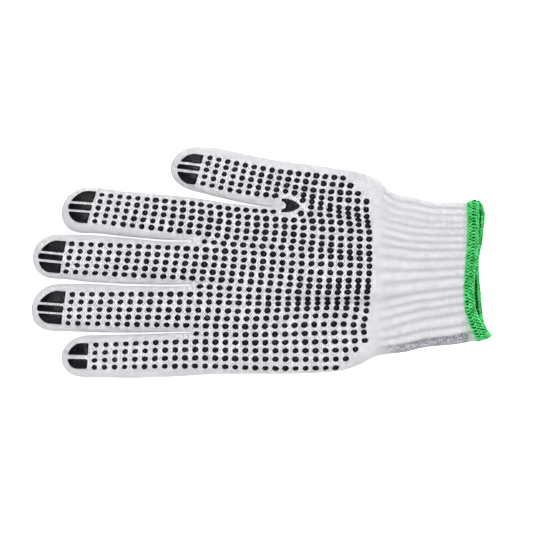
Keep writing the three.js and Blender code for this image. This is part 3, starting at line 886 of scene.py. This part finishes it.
def stitch_legs(tree, column, row):
    """How high a point lies on the legs of its stitch, from 0 beside the yarn to 1 on top of it."""
    inside = add(tree, "ShaderNodeMath", {0: column}, operation="FRACT")
    centred = add(tree, "ShaderNodeMath", {0: inside, 1: 0.5}, operation="SUBTRACT")
    from_middle = add(tree, "ShaderNodeMath", {0: centred}, operation="ABSOLUTE")
    off_leg = add(tree, "ShaderNodeMath", {0: from_middle, 1: LEG_PLACE}, operation="SUBTRACT")
    leg_share = add(tree, "ShaderNodeMath", {0: off_leg, 1: LEG_NARROWNESS}, operation="MULTIPLY")
    leg_square = add(tree, "ShaderNodeMath", {0: leg_share, 1: leg_share}, operation="MULTIPLY")
    leg = add(tree, "ShaderNodeMath", {0: 1.0, 1: leg_square}, operation="SUBTRACT")
    lean = add(tree, "ShaderNodeMath", {0: from_middle, 1: row}, operation="ADD")
    turn = add(tree, "ShaderNodeMath", {0: lean}, operation="FRACT")
    angle = add(tree, "ShaderNodeMath", {0: turn, 1: math.pi}, operation="MULTIPLY")
    hump = add(tree, "ShaderNodeMath", {0: angle}, operation="SINE")
    overlap = add(
        tree, "ShaderNodeMath", {0: hump, 1: LOOP_RISE, 2: 1 - LOOP_RISE}, operation="MULTIPLY_ADD"
    )
    return add(tree, "ShaderNodeMath", {0: leg, 1: overlap}, operation="MULTIPLY", use_clamp=True)


def stitch_holes(tree, column, row, along_glove):
    """The holes between the loops, staggered, and each of them open to a different degree."""
    along = add(tree, "ShaderNodeMath", {0: column, 1: row}, operation="ADD")
    against = add(tree, "ShaderNodeMath", {0: column, 1: row}, operation="SUBTRACT")
    lattice = add(tree, "ShaderNodeCombineXYZ", {0: along, 1: against})
    cell = add(tree, "ShaderNodeVectorMath", {0: lattice}, operation="FLOOR")
    in_cell = add(tree, "ShaderNodeVectorMath", {0: lattice}, operation="FRACTION")
    off_hole = add(tree, "ShaderNodeVectorMath", {0: in_cell, 1: (0.5, 0.5, 0.0)}, operation="SUBTRACT")
    away = add(tree, "ShaderNodeVectorMath", {0: off_hole}, operation="LENGTH")
    hole = add(
        tree,
        "ShaderNodeMath",
        {0: away.outputs["Value"], 1: -HOLE_STEEPNESS, 2: HOLE_STEEPNESS * HOLE_RADIUS},
        operation="MULTIPLY_ADD",
        use_clamp=True,
    )
    chance = add(tree, "ShaderNodeTexWhiteNoise", {"Vector": cell})
    openness = add(
        tree, "ShaderNodeMath", {0: chance, 1: HOLE_VARIETY, 2: HOLE_LEAST}, operation="MULTIPLY_ADD"
    )
    tighter = add(tree, "ShaderNodeMapRange", {"Value": along_glove, **TIGHTER})
    open_share = add(tree, "ShaderNodeMath", {0: openness, 1: tighter}, operation="MULTIPLY")
    return add(tree, "ShaderNodeMath", {0: hole, 1: open_share}, operation="MULTIPLY", use_clamp=True)


def jersey_knit():
    """Bleached cotton and polyester yarn, machine knitted in fine jersey and ribbed at the cuff.

    It gives a matt, slightly fuzzy white surface of small V stitches in columns along the fingers,
    with painted shade in grey beside the yarn's legs and in the holes between the loops, soft
    painted shadow between the cuff's ribs and a strip of painted shade where the cuff turns under.
    """
    material, tree, shader = new_material(
        "bleached_cotton_polyester_jersey_knit",
        Roughness=0.94,
        Sheen_Weight=0.2,
        Sheen_Roughness=0.6,
        Specular_IOR_Level=0.2,
    )
    uv = add(tree, "ShaderNodeUVMap", uv_map="knit")
    place = add(tree, "ShaderNodeSeparateXYZ", {0: uv})
    column = add(tree, "ShaderNodeMath", {0: place.outputs["X"], 1: WALE}, operation="DIVIDE")
    row = add(tree, "ShaderNodeMath", {0: place.outputs["Y"], 1: COURSE}, operation="DIVIDE")
    stitch = stitch_legs(tree, column, row)
    gap = stitch_holes(tree, column, row, place.outputs["Y"])

    # Loose fibres, and yarn that is thicker in some places.
    spot = add(tree, "ShaderNodeTexCoord").outputs["Object"]
    fibre, slub, shade_strip_noise = (
        add(
            tree,
            "ShaderNodeTexNoise",
            {"Vector": spot, "Scale": MILLIMETRES_PER_METRE / grain, "Detail": 2.0},
        )
        for grain in (FIBRE_GRAIN, SLUB_GRAIN, SHADE_STRIP_GRAIN)
    )
    fuzz = add(tree, "ShaderNodeMath", {0: fibre, **FIBRE_FUZZ}, operation="MULTIPLY_ADD")
    fuzzy = add(tree, "ShaderNodeMath", {0: stitch, 1: fuzz}, operation="ADD", use_clamp=True)
    thick = add(
        tree, "ShaderNodeMath", {0: slub, **SLUB_CONTRAST}, operation="MULTIPLY_ADD", use_clamp=True
    )

    # Shadow held between the cuff's ribs, and green lint from the overlocked edge.
    groove, lint, turned = (
        add(tree, "ShaderNodeAttribute", attribute_name=name).outputs["Fac"]
        for name in ("groove", "lint", "turned")
    )
    deep = add(tree, "ShaderNodeMath", {0: groove, 1: GROOVE_SHADOW}, operation="MULTIPLY")
    patchy = add(tree, "ShaderNodeMath", {0: lint, 1: slub}, operation="MULTIPLY")

    # Painted shade: where the cuff is turned under, its side wall is darkened with ragged grey
    # speckles.
    ragged = add(
        tree, "ShaderNodeMath", {0: shade_strip_noise, **SHADE_STRIP_CONTRAST}, operation="MULTIPLY_ADD", use_clamp=True
    )

    # Tones for the yarn's random thickness and for the painted shade speckles of the turned-under
    # strip. Then each layer of colour: how much of it shows, its colour, and how it is laid on.
    grey, painted_shade_speckle = (
        add(
            tree,
            "ShaderNodeMix",
            {0: factor, FIRST_COLOUR: linear(dark), SECOND_COLOUR: linear(light)},
            data_type="RGBA",
        ).outputs[MIXED_COLOUR]
        for factor, dark, light in ((thick, "#e2e2e5", "#ffffff"), (ragged, "#92929b", "#e2e2e6"))
    )
    # Painted shade: the base grey shows beside the yarn's legs, and the white shows on top of the yarn.
    colour = linear("#b8b8be")
    for factor, layer, way in (
        (fuzzy, linear("#fafafb"), "MIX"),
        (1.0, grey, "MULTIPLY"),
        # painted shade in the holes between the loops
        (gap, linear("#5e5e66"), "MIX"),
        (deep, linear("#8f8f98"), "MIX"),
        (patchy, linear("#7fae8c"), "MIX"),
        # painted shade of the turned-under strip
        (turned, painted_shade_speckle, "MULTIPLY"),
    ):
        colour = add(
            tree,
            "ShaderNodeMix",
            {0: factor, FIRST_COLOUR: colour, SECOND_COLOUR: layer},
            data_type="RGBA",
            blend_type=way,
        ).outputs[MIXED_COLOUR]
    tree.links.new(colour, shader.inputs["Base Color"])

    pitted = add(tree, "ShaderNodeMath", {0: stitch, 1: gap}, operation="SUBTRACT")
    relief = add(
        tree, "ShaderNodeMath", {0: fibre, 1: FIBRE_IN_RELIEF, 2: pitted}, operation="MULTIPLY_ADD"
    )
    depth = STITCH_RELIEF / MILLIMETRES_PER_METRE
    bump = add(tree, "ShaderNodeBump", {"Height": relief, "Strength": 0.9, "Distance": depth})
    tree.links.new(bump.outputs[0], shader.inputs["Normal"])
    return material


def vinyl_print():
    """Black vinyl paste, screen printed through holes and cured by heat.

    It gives deep black, low domes and bars with a faint dry shine, and a skin that is a little
    orange-peeled and clouded where the knit's grain shows through.
    """
    material, tree, shader = new_material(
        "black_vinyl_paste_screen_printed", IOR=1.53, Specular_IOR_Level=0.12
    )
    spot = add(tree, "ShaderNodeTexCoord").outputs["Object"]
    peel, cloud = (
        add(
            tree,
            "ShaderNodeTexNoise",
            {"Vector": spot, "Scale": MILLIMETRES_PER_METRE / grain, "Detail": detail},
        )
        for grain, detail in ((PRINT_GRAIN, 3.0), (PRINT_CLOUD, 2.0))
    )
    mottle = add(
        tree, "ShaderNodeMath", {0: peel, **PRINT_CONTRAST}, operation="MULTIPLY_ADD", use_clamp=True
    )
    colour = add(
        tree,
        "ShaderNodeMix",
        {0: mottle, FIRST_COLOUR: linear("#020305"), SECOND_COLOUR: linear("#2a343c")},
        data_type="RGBA",
    )
    tree.links.new(colour.outputs[MIXED_COLOUR], shader.inputs["Base Color"])
    dull = add(tree, "ShaderNodeMath", {0: peel, **PRINT_ROUGHNESS}, operation="MULTIPLY_ADD")
    tree.links.new(dull.outputs[0], shader.inputs["Roughness"])
    relief = add(
        tree, "ShaderNodeMath", {0: cloud, 1: CLOUD_IN_RELIEF, 2: peel}, operation="MULTIPLY_ADD"
    )
    depth = PRINT_RELIEF / MILLIMETRES_PER_METRE
    bump = add(tree, "ShaderNodeBump", {"Height": relief, "Strength": 0.8, "Distance": depth})
    tree.links.new(bump.outputs[0], shader.inputs["Normal"])
    return material


def overlock_thread(name, shadow, light):
    """Green bulked polyester thread, dyed in the yarn and overlocked around the knit's cut edge.

    It gives a saturated, finely hairy green, mottled at random between a shaded and a lit tone. The
    copy on the bed under the loops is painted dark as shade, and the loops' copy is lighter.
    """
    material, tree, shader = new_material(name, Roughness=0.72, Specular_IOR_Level=0.15)
    spot = add(tree, "ShaderNodeTexCoord").outputs["Object"]
    plies, patch = (
        add(
            tree,
            "ShaderNodeTexNoise",
            {"Vector": spot, "Scale": MILLIMETRES_PER_METRE / grain, "Detail": 2.0},
        )
        for grain in (THREAD_GRAIN, THREAD_CLOUD)
    )
    blend = add(
        tree, "ShaderNodeMath", {0: plies, 1: PLIES_IN_COLOUR, 2: patch}, operation="MULTIPLY_ADD"
    )
    contrast = add(
        tree, "ShaderNodeMath", {0: blend, **THREAD_CONTRAST}, operation="MULTIPLY_ADD", use_clamp=True
    )
    colour = add(
        tree,
        "ShaderNodeMix",
        {0: contrast, FIRST_COLOUR: linear(shadow), SECOND_COLOUR: linear(light)},
        data_type="RGBA",
    )
    tree.links.new(colour.outputs[MIXED_COLOUR], shader.inputs["Base Color"])
    depth = THREAD_RELIEF / MILLIMETRES_PER_METRE
    bump = add(tree, "ShaderNodeBump", {"Height": plies, "Strength": 0.6, "Distance": depth})
    tree.links.new(bump.outputs[0], shader.inputs["Normal"])
    return material


def plain_floor():
    """Matt white acrylic of a light table, lit from below just enough to take away the shadows."""
    return new_material(
        "matt_white_acrylic_light_table",
        Base_Color=linear("#f6f6f6"),
        Roughness=0.9,
        Emission_Color=(1, 1, 1, 1),
        Emission_Strength=0.6,
    )[0]


def new_object(name, points, faces, material, edges=()):
    """A mesh object from points in millimetres, in the tables' own place."""
    mesh = bpy.data.meshes.new(name)
    mesh.from_pydata(((points + SHIFT) / MILLIMETRES_PER_METRE).tolist(), list(edges), faces)
    mesh.materials.append(material)
    mesh.shade_smooth()
    made = bpy.data.objects.new(name, mesh)
    bpy.context.scene.collection.objects.link(made)
    return made


def weld(mesh, distance=2e-6):
    """Joins points that lie in the same place."""
    work = bmesh.new()
    work.from_mesh(mesh)
    bmesh.ops.remove_doubles(work, verts=work.verts, dist=distance)
    work.to_mesh(mesh)
    work.free()


def knit_glove():
    """The whole knitted glove as one closed mesh, with its columns and rows as a UV map."""
    weave = Weave()
    outer = knit_surface(weave, 0.0, OUTER_STEP, OUTER_TIP_RINGS)
    inner = knit_surface(weave, WALL, INNER_STEP, INNER_TIP_RINGS)
    weave.band(outer, inner)
    x, y, z, wale, row, groove = np.concatenate(weave.points).T
    points = np.stack([x, y, np.maximum(z, 0)], 1)
    made = new_object("knit_glove", points, weave.faces, jersey_knit())
    mesh = made.data
    from_fold = y - hand_little_side(x) - SHADE_STRIP_WIDTH
    fade_in = smooth((x - SHADE_STRIP_START_X) / SHADE_STRIP_FADE_IN)
    fade_out = smooth((SHADE_STRIP_END_X - x) / SHADE_STRIP_FADE_OUT)
    columns = {
        "wale": wale,
        "row": row,
        "groove": groove,
        "lint": smooth((x - LINT_START_X) / LINT_LENGTH) * LINT_SHARE,
        # Mask of the painted shade where the cuff is turned under.
        "turned": smooth(1 - from_fold / SHADE_STRIP_EDGE) * fade_in * fade_out,
    }
    for name, values in columns.items():
        layer = mesh.attributes.new(name, "FLOAT", "POINT")
        layer.data.foreach_set("value", values)
    weld(mesh)
    corners = np.empty(len(mesh.loops), int)
    mesh.loops.foreach_get("vertex_index", corners)
    uv = np.empty((len(mesh.loops), 2), np.float32)
    for axis, name in enumerate(("wale", "row")):
        values = np.empty(len(mesh.vertices), np.float32)
        mesh.attributes[name].data.foreach_get("value", values)
        uv[:, axis] = values[corners]
        mesh.attributes.remove(mesh.attributes[name])
    mesh.uv_layers.new(name="knit").data.foreach_set("uv", uv.ravel())
    return made


def top_height(tube, x, y):
    """The palm-side height anywhere on a tube, with its rounded tip."""
    share = tube.tip_share(x)
    middle = (tube.high(x) + tube.low(x)) / 2
    side = SIDE_SHARE * tube.full_height(x)
    full_y = middle + (y - middle) / np.maximum(superellipse(1 - share, *TIP_OUTLINE), TIP_NARROWEST)
    rise = superellipse(1 - share, *TIP_PROFILE)
    return side + (heights_at(tube, x, full_y)[0] - side) * rise


def off_surface(tube, x, y, distance):
    """Points at a distance off a tube's palm side, and the directions straight out of it."""
    step = 0.2
    slope_x = (top_height(tube, x + step, y) - top_height(tube, x - step, y)) / (2 * step)
    slope_y = (top_height(tube, x, y + step) - top_height(tube, x, y - step)) / (2 * step)
    normal = np.stack([-slope_x, -slope_y, np.ones_like(slope_x)], -1)
    normal /= np.linalg.norm(normal, axis=-1, keepdims=True)
    foot = np.stack([x, y, top_height(tube, x, y)], -1)
    return foot + normal * np.expand_dims(distance, -1), normal


def geometry_tree(name, *sizes):
    """A new Geometry Nodes tree with one geometry and named sizes in. Returns it and its input node."""
    tree = bpy.data.node_groups.new(name, "GeometryNodeTree")
    tree.interface.new_socket("Geometry", in_out="INPUT", socket_type="NodeSocketGeometry")
    tree.interface.new_socket("Geometry", in_out="OUTPUT", socket_type="NodeSocketGeometry")
    for size in sizes:
        tree.interface.new_socket(size, in_out="INPUT", socket_type="NodeSocketFloat")
    return tree, add(tree, "NodeGroupInput")


def finish_tree(tree, shape, material):
    """Ends a tree: its shape is smooth, of one material, and goes out of it."""
    smoothed = add(tree, "GeometryNodeSetShadeSmooth", {0: shape})
    finished = add(tree, "GeometryNodeSetMaterial", {0: smoothed, "Material": material})
    add(tree, "NodeGroupOutput", {0: finished})


def grown(base, tree, sizes):
    """Runs a tree on an object, with its sizes in millimetres, and keeps the plain mesh it makes."""
    modifier = base.modifiers.new(tree.name, "NODES")
    modifier.node_group = tree
    for item in tree.interface.items_tree:
        if item.in_out == "INPUT" and item.name in sizes:
            modifier[item.identifier] = sizes[item.name] / MILLIMETRES_PER_METRE
    seen = base.evaluated_get(bpy.context.evaluated_depsgraph_get())
    mesh = bpy.data.meshes.new_from_object(seen)
    base.modifiers.remove(modifier)
    points = base.data
    name = points.name
    base.data = mesh
    bpy.data.meshes.remove(points)
    mesh.name = name
    return base


def tube_of_row(start, x):
    """The tube that a row of dots lies on at x: its digit, then the palm, then the whole hand."""
    digit_end = THUMB_CROTCH_X if start == "thumb" else CROTCH_X
    if x < digit_end:
        return tubes[start]
    return palm if x < THUMB_CROTCH_X else hand


def dot_places():
    """Each grip dot's middle on the knit, the direction straight out of it, and its share of size."""
    places, normals, growth = [], [], []
    for start, count, path in DOT_ROWS:
        x = np.linspace(path[0][0], path[-1][0], count)
        y = curve(path)(x)
        tip = tubes[start].tip if start in tubes else x[0] - DOT_GROWTH[-1][0]
        growth.extend(np.interp(x - tip, *zip(*DOT_GROWTH)))
        for i in range(count):
            tube = tube_of_row(start, x[i])
            place, normal = off_surface(tube, x[i : i + 1], y[i : i + 1], np.array([-DOT_SUNK]))
            places.append(place[0])
            normals.append(normal[0])
    return np.array(places), np.array(normals), np.array(growth)


def grip_dots(material):
    """All the grip dots, each a low dome set square on the knit and a little unlike its neighbours."""
    places, normals, growth = dot_places()
    base = new_object("grip_dots", places, [], material)
    layer = base.data.attributes.new("out_of_knit", "FLOAT_VECTOR", "POINT")
    layer.data.foreach_set("vector", normals.ravel())
    base.data.attributes.new("growth", "FLOAT", "POINT").data.foreach_set("value", growth)
    tree, given = geometry_tree("grip dots", "Dot length", "Dot width", "Dot height", "Unevenness")

    # A ball one unit wide, cut off just below its middle, is the dome that every dot is a copy of.
    ball = add(tree, "GeometryNodeMeshUVSphere", {"Segments": 14, "Rings": 6, "Radius": 0.5})
    where = add(tree, "GeometryNodeInputPosition")
    height = add(tree, "ShaderNodeSeparateXYZ", {0: where})
    below_cut = {0: height.outputs["Z"], 1: -DOT_CUT}
    hidden = add(tree, "FunctionNodeCompare", below_cut, operation="LESS_THAN")
    dome = add(tree, "GeometryNodeDeleteGeometry", {0: ball, 1: hidden})

    # Each copy stands out of the knit, and its length points roughly along the glove.
    outward = add(tree, "GeometryNodeInputNamedAttribute", {0: "out_of_knit"}, data_type="FLOAT_VECTOR")
    upright = add(tree, "FunctionNodeAlignRotationToVector", {"Vector": outward}, axis="Z")
    heading, variety = (
        add(
            tree,
            "FunctionNodeRandomValue",
            {0: low, 1: high, "Seed": seed},
            data_type="FLOAT_VECTOR",
        )
        for (low, high), seed in ((DOT_HEADING, 3), (DOT_VARIETY, 8))
    )
    turned = add(
        tree,
        "FunctionNodeAlignRotationToVector",
        {"Rotation": upright, "Vector": heading},
        axis="X",
        pivot_axis="Z",
    )
    full_height = add(
        tree, "ShaderNodeMath", {0: given.outputs["Dot height"], 1: 2.0}, operation="MULTIPLY"
    )
    size = add(
        tree,
        "ShaderNodeCombineXYZ",
        {0: given.outputs["Dot length"], 1: given.outputs["Dot width"], 2: full_height},
    )
    varied = add(tree, "ShaderNodeVectorMath", {0: size, 1: variety}, operation="MULTIPLY")
    growth = add(tree, "GeometryNodeInputNamedAttribute", {0: "growth"}, data_type="FLOAT")
    scale = add(tree, "ShaderNodeVectorMath", {0: varied, "Scale": growth}, operation="SCALE")
    copies = add(
        tree,
        "GeometryNodeInstanceOnPoints",
        {"Points": given.outputs["Geometry"], "Instance": dome, "Rotation": turned, "Scale": scale},
    )
    real = add(tree, "GeometryNodeRealizeInstances", {0: copies})

    # The paste never cures quite round, so the domes are pushed about a little.
    noise = add(tree, "ShaderNodeTexNoise", {"Scale": MILLIMETRES_PER_METRE / DOT_GRAIN, "Detail": 1.0})
    chance, uneven = noise.outputs["Color"], given.outputs["Unevenness"]
    centred = add(tree, "ShaderNodeVectorMath", {0: chance, 1: (0.5, 0.5, 0.5)}, operation="SUBTRACT")
    push = add(tree, "ShaderNodeVectorMath", {0: centred, "Scale": uneven}, operation="SCALE")
    shaken = add(tree, "GeometryNodeSetPosition", {"Geometry": real, "Offset": push})
    finish_tree(tree, shaken, material)
    sizes = {
        "Dot length": DOT_LENGTH,
        "Dot width": DOT_WIDTH,
        "Dot height": DOT_HEIGHT,
        "Unevenness": DOT_UNEVENNESS,
    }
    return grown(base, tree, sizes)


def printed_pad(name, tube, outline, material, along=36, across=24):
    """A printed pad with rounded corners and rolled edges, its underside sunk into the knit.

    outline gives the two ends of each line along the pad, for a share across it.
    """
    s = 0.5 - 0.5 * np.cos(math.pi * np.linspace(0, 1, along + 1))
    t = 0.5 - 0.5 * np.cos(math.pi * np.linspace(0, 1, across + 1))
    start, end = outline(t)
    heading = (end - start) / np.linalg.norm(end - start, axis=1)[:, None]
    wander = [turns * ends @ (1, 2) for turns, ends in zip(PAD_END_TURNS, (start, end))]
    ragged = PAD_RAGGEDNESS * np.sin(wander)[..., None]
    start = start - (PAD_SPREAD + ragged[0]) * heading
    end = end + (PAD_SPREAD + ragged[1]) * heading
    length = np.linalg.norm(end - start, axis=1)
    steps = np.linalg.norm(np.diff((start + end) / 2, axis=0), axis=1)
    from_first = np.r_[0, np.cumsum(steps)]
    from_side = np.minimum(from_first, from_first[-1] - from_first)
    corner = np.minimum(PAD_CORNER, length * PAD_CORNER_SHARE)
    cut = corner * (1 - np.sqrt(1 - clamp01(1 - from_side / corner) ** 2))
    start = start + heading * cut[:, None]
    end = end - heading * cut[:, None]
    place = mix(start[:, None], end[:, None], s[None, :, None])
    x, y = place[..., 0], place[..., 1]
    from_ends = np.minimum(s, 1 - s)[None, :] * (length - 2 * cut)[:, None]
    reach = (np.maximum(from_ends, 1e-3) ** -3 + np.maximum(from_side[:, None], 1e-3) ** -3) ** (-1 / 3)
    rolled = superellipse(1 - clamp01(reach / PAD_ROLL), *PAD_EDGE)
    upper, _ = off_surface(tube, x, y, -PAD_SUNK + (PAD_THICKNESS + PAD_SUNK) * rolled)
    lower, _ = off_surface(tube, x, y, np.full(x.shape, -PAD_SUNK))
    count = (along + 1) * (across + 1)
    index = np.arange(count).reshape(across + 1, along + 1)
    corners = (index[:-1, :-1], index[:-1, 1:], index[1:, 1:], index[1:, :-1])
    quads = np.stack([corner.ravel() for corner in corners], 1)
    points = np.concatenate([upper.reshape(-1, 3), lower.reshape(-1, 3)])
    made = new_object(name, points, quads.tolist() + (quads[:, ::-1] + count).tolist(), material)
    weld(made.data)
    return made


def tip_bar(name, tube, tip_print, span, material):
    """One bar of a fingertip's print: round towards the tip, straight and slanted towards the palm."""
    turn = tip_print["turn"]
    axis = np.array([math.cos(turn), -math.sin(turn)])
    sideways = np.array([math.sin(turn), math.cos(turn)])

    def outline(t):
        spread = PAD_SPREAD / tip_print["half_width"]
        v = mix(span[0] - spread, span[1] + spread, t)
        across = tip_print["half_width"] * v
        reach, round_lean = tip_print["round"]
        length, lean = tip_print["straight"]
        start = reach * (1 - superellipse(v, *PAD_ROUND_END)) + round_lean * across
        line = tip_print["place"] + across[:, None] * sideways
        return line + start[:, None] * axis, line + (length + lean * across)[:, None] * axis

    return printed_pad(name, tube, outline, material)


def crotch_patch(material):
    """The arrowhead printed behind the thumb's crotch."""
    p = CROTCH_PRINT

    def outline(t):
        v = mix(-p["printed"], p["printed"], t)
        y = p["y"] + p["half_width"] * v
        in_notch = np.minimum(np.abs(v) / p["notch_share"], 1)
        start = p["x"] + p["notch"] * superellipse(in_notch, *p["notch_rounding"])
        leaning = v + p["lean"] * (1 - v * v)
        end = p["x"] + p["length"] * superellipse(leaning, *p["point_rounding"])
        return np.stack([start, y], 1), np.stack([end, y], 1)

    return printed_pad("thumb_crotch_patch_print", hand, outline, material, across=34)


class MouthRing:
    """The knit's edge at the mouth, as a closed path that a place on the edge is found along."""

    def __init__(self):
        rings = [
            [ring_of(cross_section(hand, x, inset))[:, :3] for inset in (0.0, WALL)]
            for x in (MOUTH_X, MOUTH_X - HEM_DEPTH)
        ]
        (edge_out, edge_in), (deep_out, deep_in) = rings
        outward = (edge_out - edge_in) * (0, 1, 1)
        outward /= np.linalg.norm(outward, axis=1, keepdims=True)
        self.fields = {
            ("out", "edge"): edge_out,
            ("in", "edge"): edge_in,
            ("out", "deep"): deep_out,
            ("in", "deep"): deep_in,
            "outward": outward,
        }
        closed = np.concatenate([edge_out, edge_out[:1]])
        steps = np.linalg.norm(np.diff(closed, axis=0)[:, 1:], axis=1)
        self.along = np.r_[0, np.cumsum(steps)]
        self.length = self.along[-1]
        self.own = self.along[:-1]

    def field(self, key, s):
        rows = self.fields[key]
        closed = np.concatenate([rows, rows[:1]])
        return np.stack([np.interp(s % self.length, self.along, column) for column in closed.T], -1)

    def point(self, s, past, side, off):
        """A point at s along the edge: how far past it, on which side of the knit and how far off."""
        share = np.reshape(1 + np.asarray(past) / HEM_DEPTH, (-1, 1))
        place = mix(self.field((side, "deep"), s), self.field((side, "edge"), s), share)
        if side == "in":
            return place - np.reshape(off, (-1, 1)) * self.field("outward", s)
        from_fold = np.minimum(s % self.length, -s % self.length)
        bulge = HEM_BULGE * np.exp(-((from_fold / HEM_BULGE_REACH) ** 2))
        outer = np.reshape(off, (-1, 1)) > HEM_BULGE_FROM
        rise = np.reshape(bulge, (-1, 1)) * smooth(2 * share) * outer
        return place + (np.reshape(off, (-1, 1)) + rise) * self.field("outward", s)


def hem_bed(mouth, material):
    """The thread packed round the edge under the loops that show."""
    weave = Weave()
    rings = []
    for past, side, off in HEM_BED:
        s = mouth.own
        loop = mouth.point(s, np.full(len(s), past), side, np.full(len(s), off))
        loop[:, 2] = np.maximum(loop[:, 2], BED_LOWEST)
        rings.append(weave.ring(loop))
    for first, second in zip(rings, rings[1:] + rings[:1]):
        weave.band(first, second)
    return new_object("overlock_bed", np.concatenate(weave.points), weave.faces, material)


def overlock_threads(mouth, material):
    """The loops that wrap the edge: slanted herringbone strokes outside, and needle lines inside."""
    rng = np.random.default_rng(5)
    count = round(mouth.length / STITCH_PITCH)
    pitch = mouth.length / count
    points, edges = [], []
    for turns in OVERLOCK_TURNS:
        first = len(points)
        for i in range(count):
            for along, past, side, off in turns:
                s = (i + along) * pitch + rng.normal(0, THREAD_STRAY["along"])
                off_here = off + rng.normal(0, THREAD_STRAY["off"])
                past_here = past + rng.normal(0, THREAD_STRAY["past"])
                place = mouth.point(np.array([s]), past_here, side, off_here)
                place[0, 2] = max(place[0, 2], THREAD_DIAMETER / 2)
                points.append(place[0])
        total = len(points) - first
        edges += [(first + i, first + (i + 1) % total) for i in range(total)]
    base = new_object("overlock_threads", np.array(points), [], material, edges)
    tree, given = geometry_tree("overlock threads", "Thread diameter")
    lines = add(tree, "GeometryNodeMeshToCurve", {0: given.outputs["Geometry"]})
    bent = add(tree, "GeometryNodeCurveSplineType", {0: lines}, spline_type="CATMULL_ROM")
    fine = add(tree, "GeometryNodeSetSplineResolution", {0: bent, "Resolution": 3})
    radius = add(
        tree, "ShaderNodeMath", {0: given.outputs["Thread diameter"], 1: 0.5}, operation="MULTIPLY"
    )
    ring = add(tree, "GeometryNodeCurvePrimitiveCircle", {"Resolution": 6, "Radius": radius})
    tube = add(tree, "GeometryNodeCurveToMesh", {0: fine, 1: ring})
    real = add(tree, "GeometryNodeRealizeInstances", {0: tube})
    finish_tree(tree, real, material)
    return grown(base, tree, {"Thread diameter": THREAD_DIAMETER})


def attach(piece, slot, *nodes):
    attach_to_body(piece, "root")
    if nodes:
        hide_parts(*nodes)


attach(knit_glove(), "cotton_knit", "knit_shell")

print_material = vinyl_print()
attach(grip_dots(print_material), "pvc_print")
attach(crotch_patch(print_material), "pvc_print", "thumb_crotch_patch")
for digit_name, tip_print in TIP_PRINTS.items():
    for bar, span in tip_print["bars"].items():
        node = f"{digit_name}_tip_pad_{bar}"
        piece = tip_bar(node + "_print", tubes[digit_name], tip_print, span, print_material)
        attach(piece, "pvc_print", node)

mouth = MouthRing()
# One thread in two copies: the bed's copy is painted dark for the shade under and inside the loops.
shaded_thread_material = overlock_thread("green_polyester_thread_painted_shade", "#002a07", "#045a19")
loop_material = overlock_thread("green_bulked_polyester_thread", "#009a2e", "#6ce893")
attach(hem_bed(mouth, shaded_thread_material), "overlock_thread", "overlock_hem")
attach(overlock_threads(mouth, loop_material), "overlock_thread")

FLOOR_WIDTH = 6
FLOOR_BELOW = 0.0002
bpy.ops.mesh.primitive_plane_add(size=FLOOR_WIDTH, location=(0, 0, -FLOOR_BELOW))
floor = bpy.context.object
floor.name = "floor"
floor.data.materials.append(plain_floor())

# Soft light: a big window beyond the thumb side, a weak fill opposite, a small lamp overhead that
# gives the print its shine, and a pale room. Each lamp: name, place, size, power.
LAMPS = [
    ("window", (0.1, 0.85, 1.35), 1.4, 20),
    ("fill", (-0.5, -1.0, 1.15), 1.5, 10),
    ("lamp", (0.12, 0.06, 1.4), 0.3, 9),
]
ROOM_STRENGTH = 0.27
for lamp_name, place, size, power in LAMPS:
    data = bpy.data.lights.new(lamp_name, "AREA")
    data.size = size
    data.energy = power
    lamp = bpy.data.objects.new(lamp_name, data)
    bpy.context.scene.collection.objects.link(lamp)
    lamp.location = place
    lamp.rotation_euler = lamp.location.to_track_quat("Z", "Y").to_euler()
world = bpy.data.worlds.new("pale room")
world.use_nodes = True
background = world.node_tree.nodes["Background"]
background.inputs["Color"].default_value = (1, 1, 1, 1)
background.inputs["Strength"].default_value = ROOM_STRENGTH
bpy.context.scene.world = world
bpy.context.scene.view_settings.view_transform = "Standard"

# The camera looks straight down, from high enough for the photograph's 292 mm of width.
PHOTO_MIDDLE = np.array([4.6, -3.9, 0.0])
CAMERA_HEIGHT = 0.816
camera_data = bpy.data.cameras.new("camera")
camera_data.lens = 100
camera_data.sensor_width = 36
camera = bpy.data.objects.new("camera", camera_data)
bpy.context.scene.collection.objects.link(camera)
camera_x, camera_y, _ = (PHOTO_MIDDLE + SHIFT) / MILLIMETRES_PER_METRE
camera.location = (camera_x, camera_y, CAMERA_HEIGHT)
bpy.context.scene.camera = camera
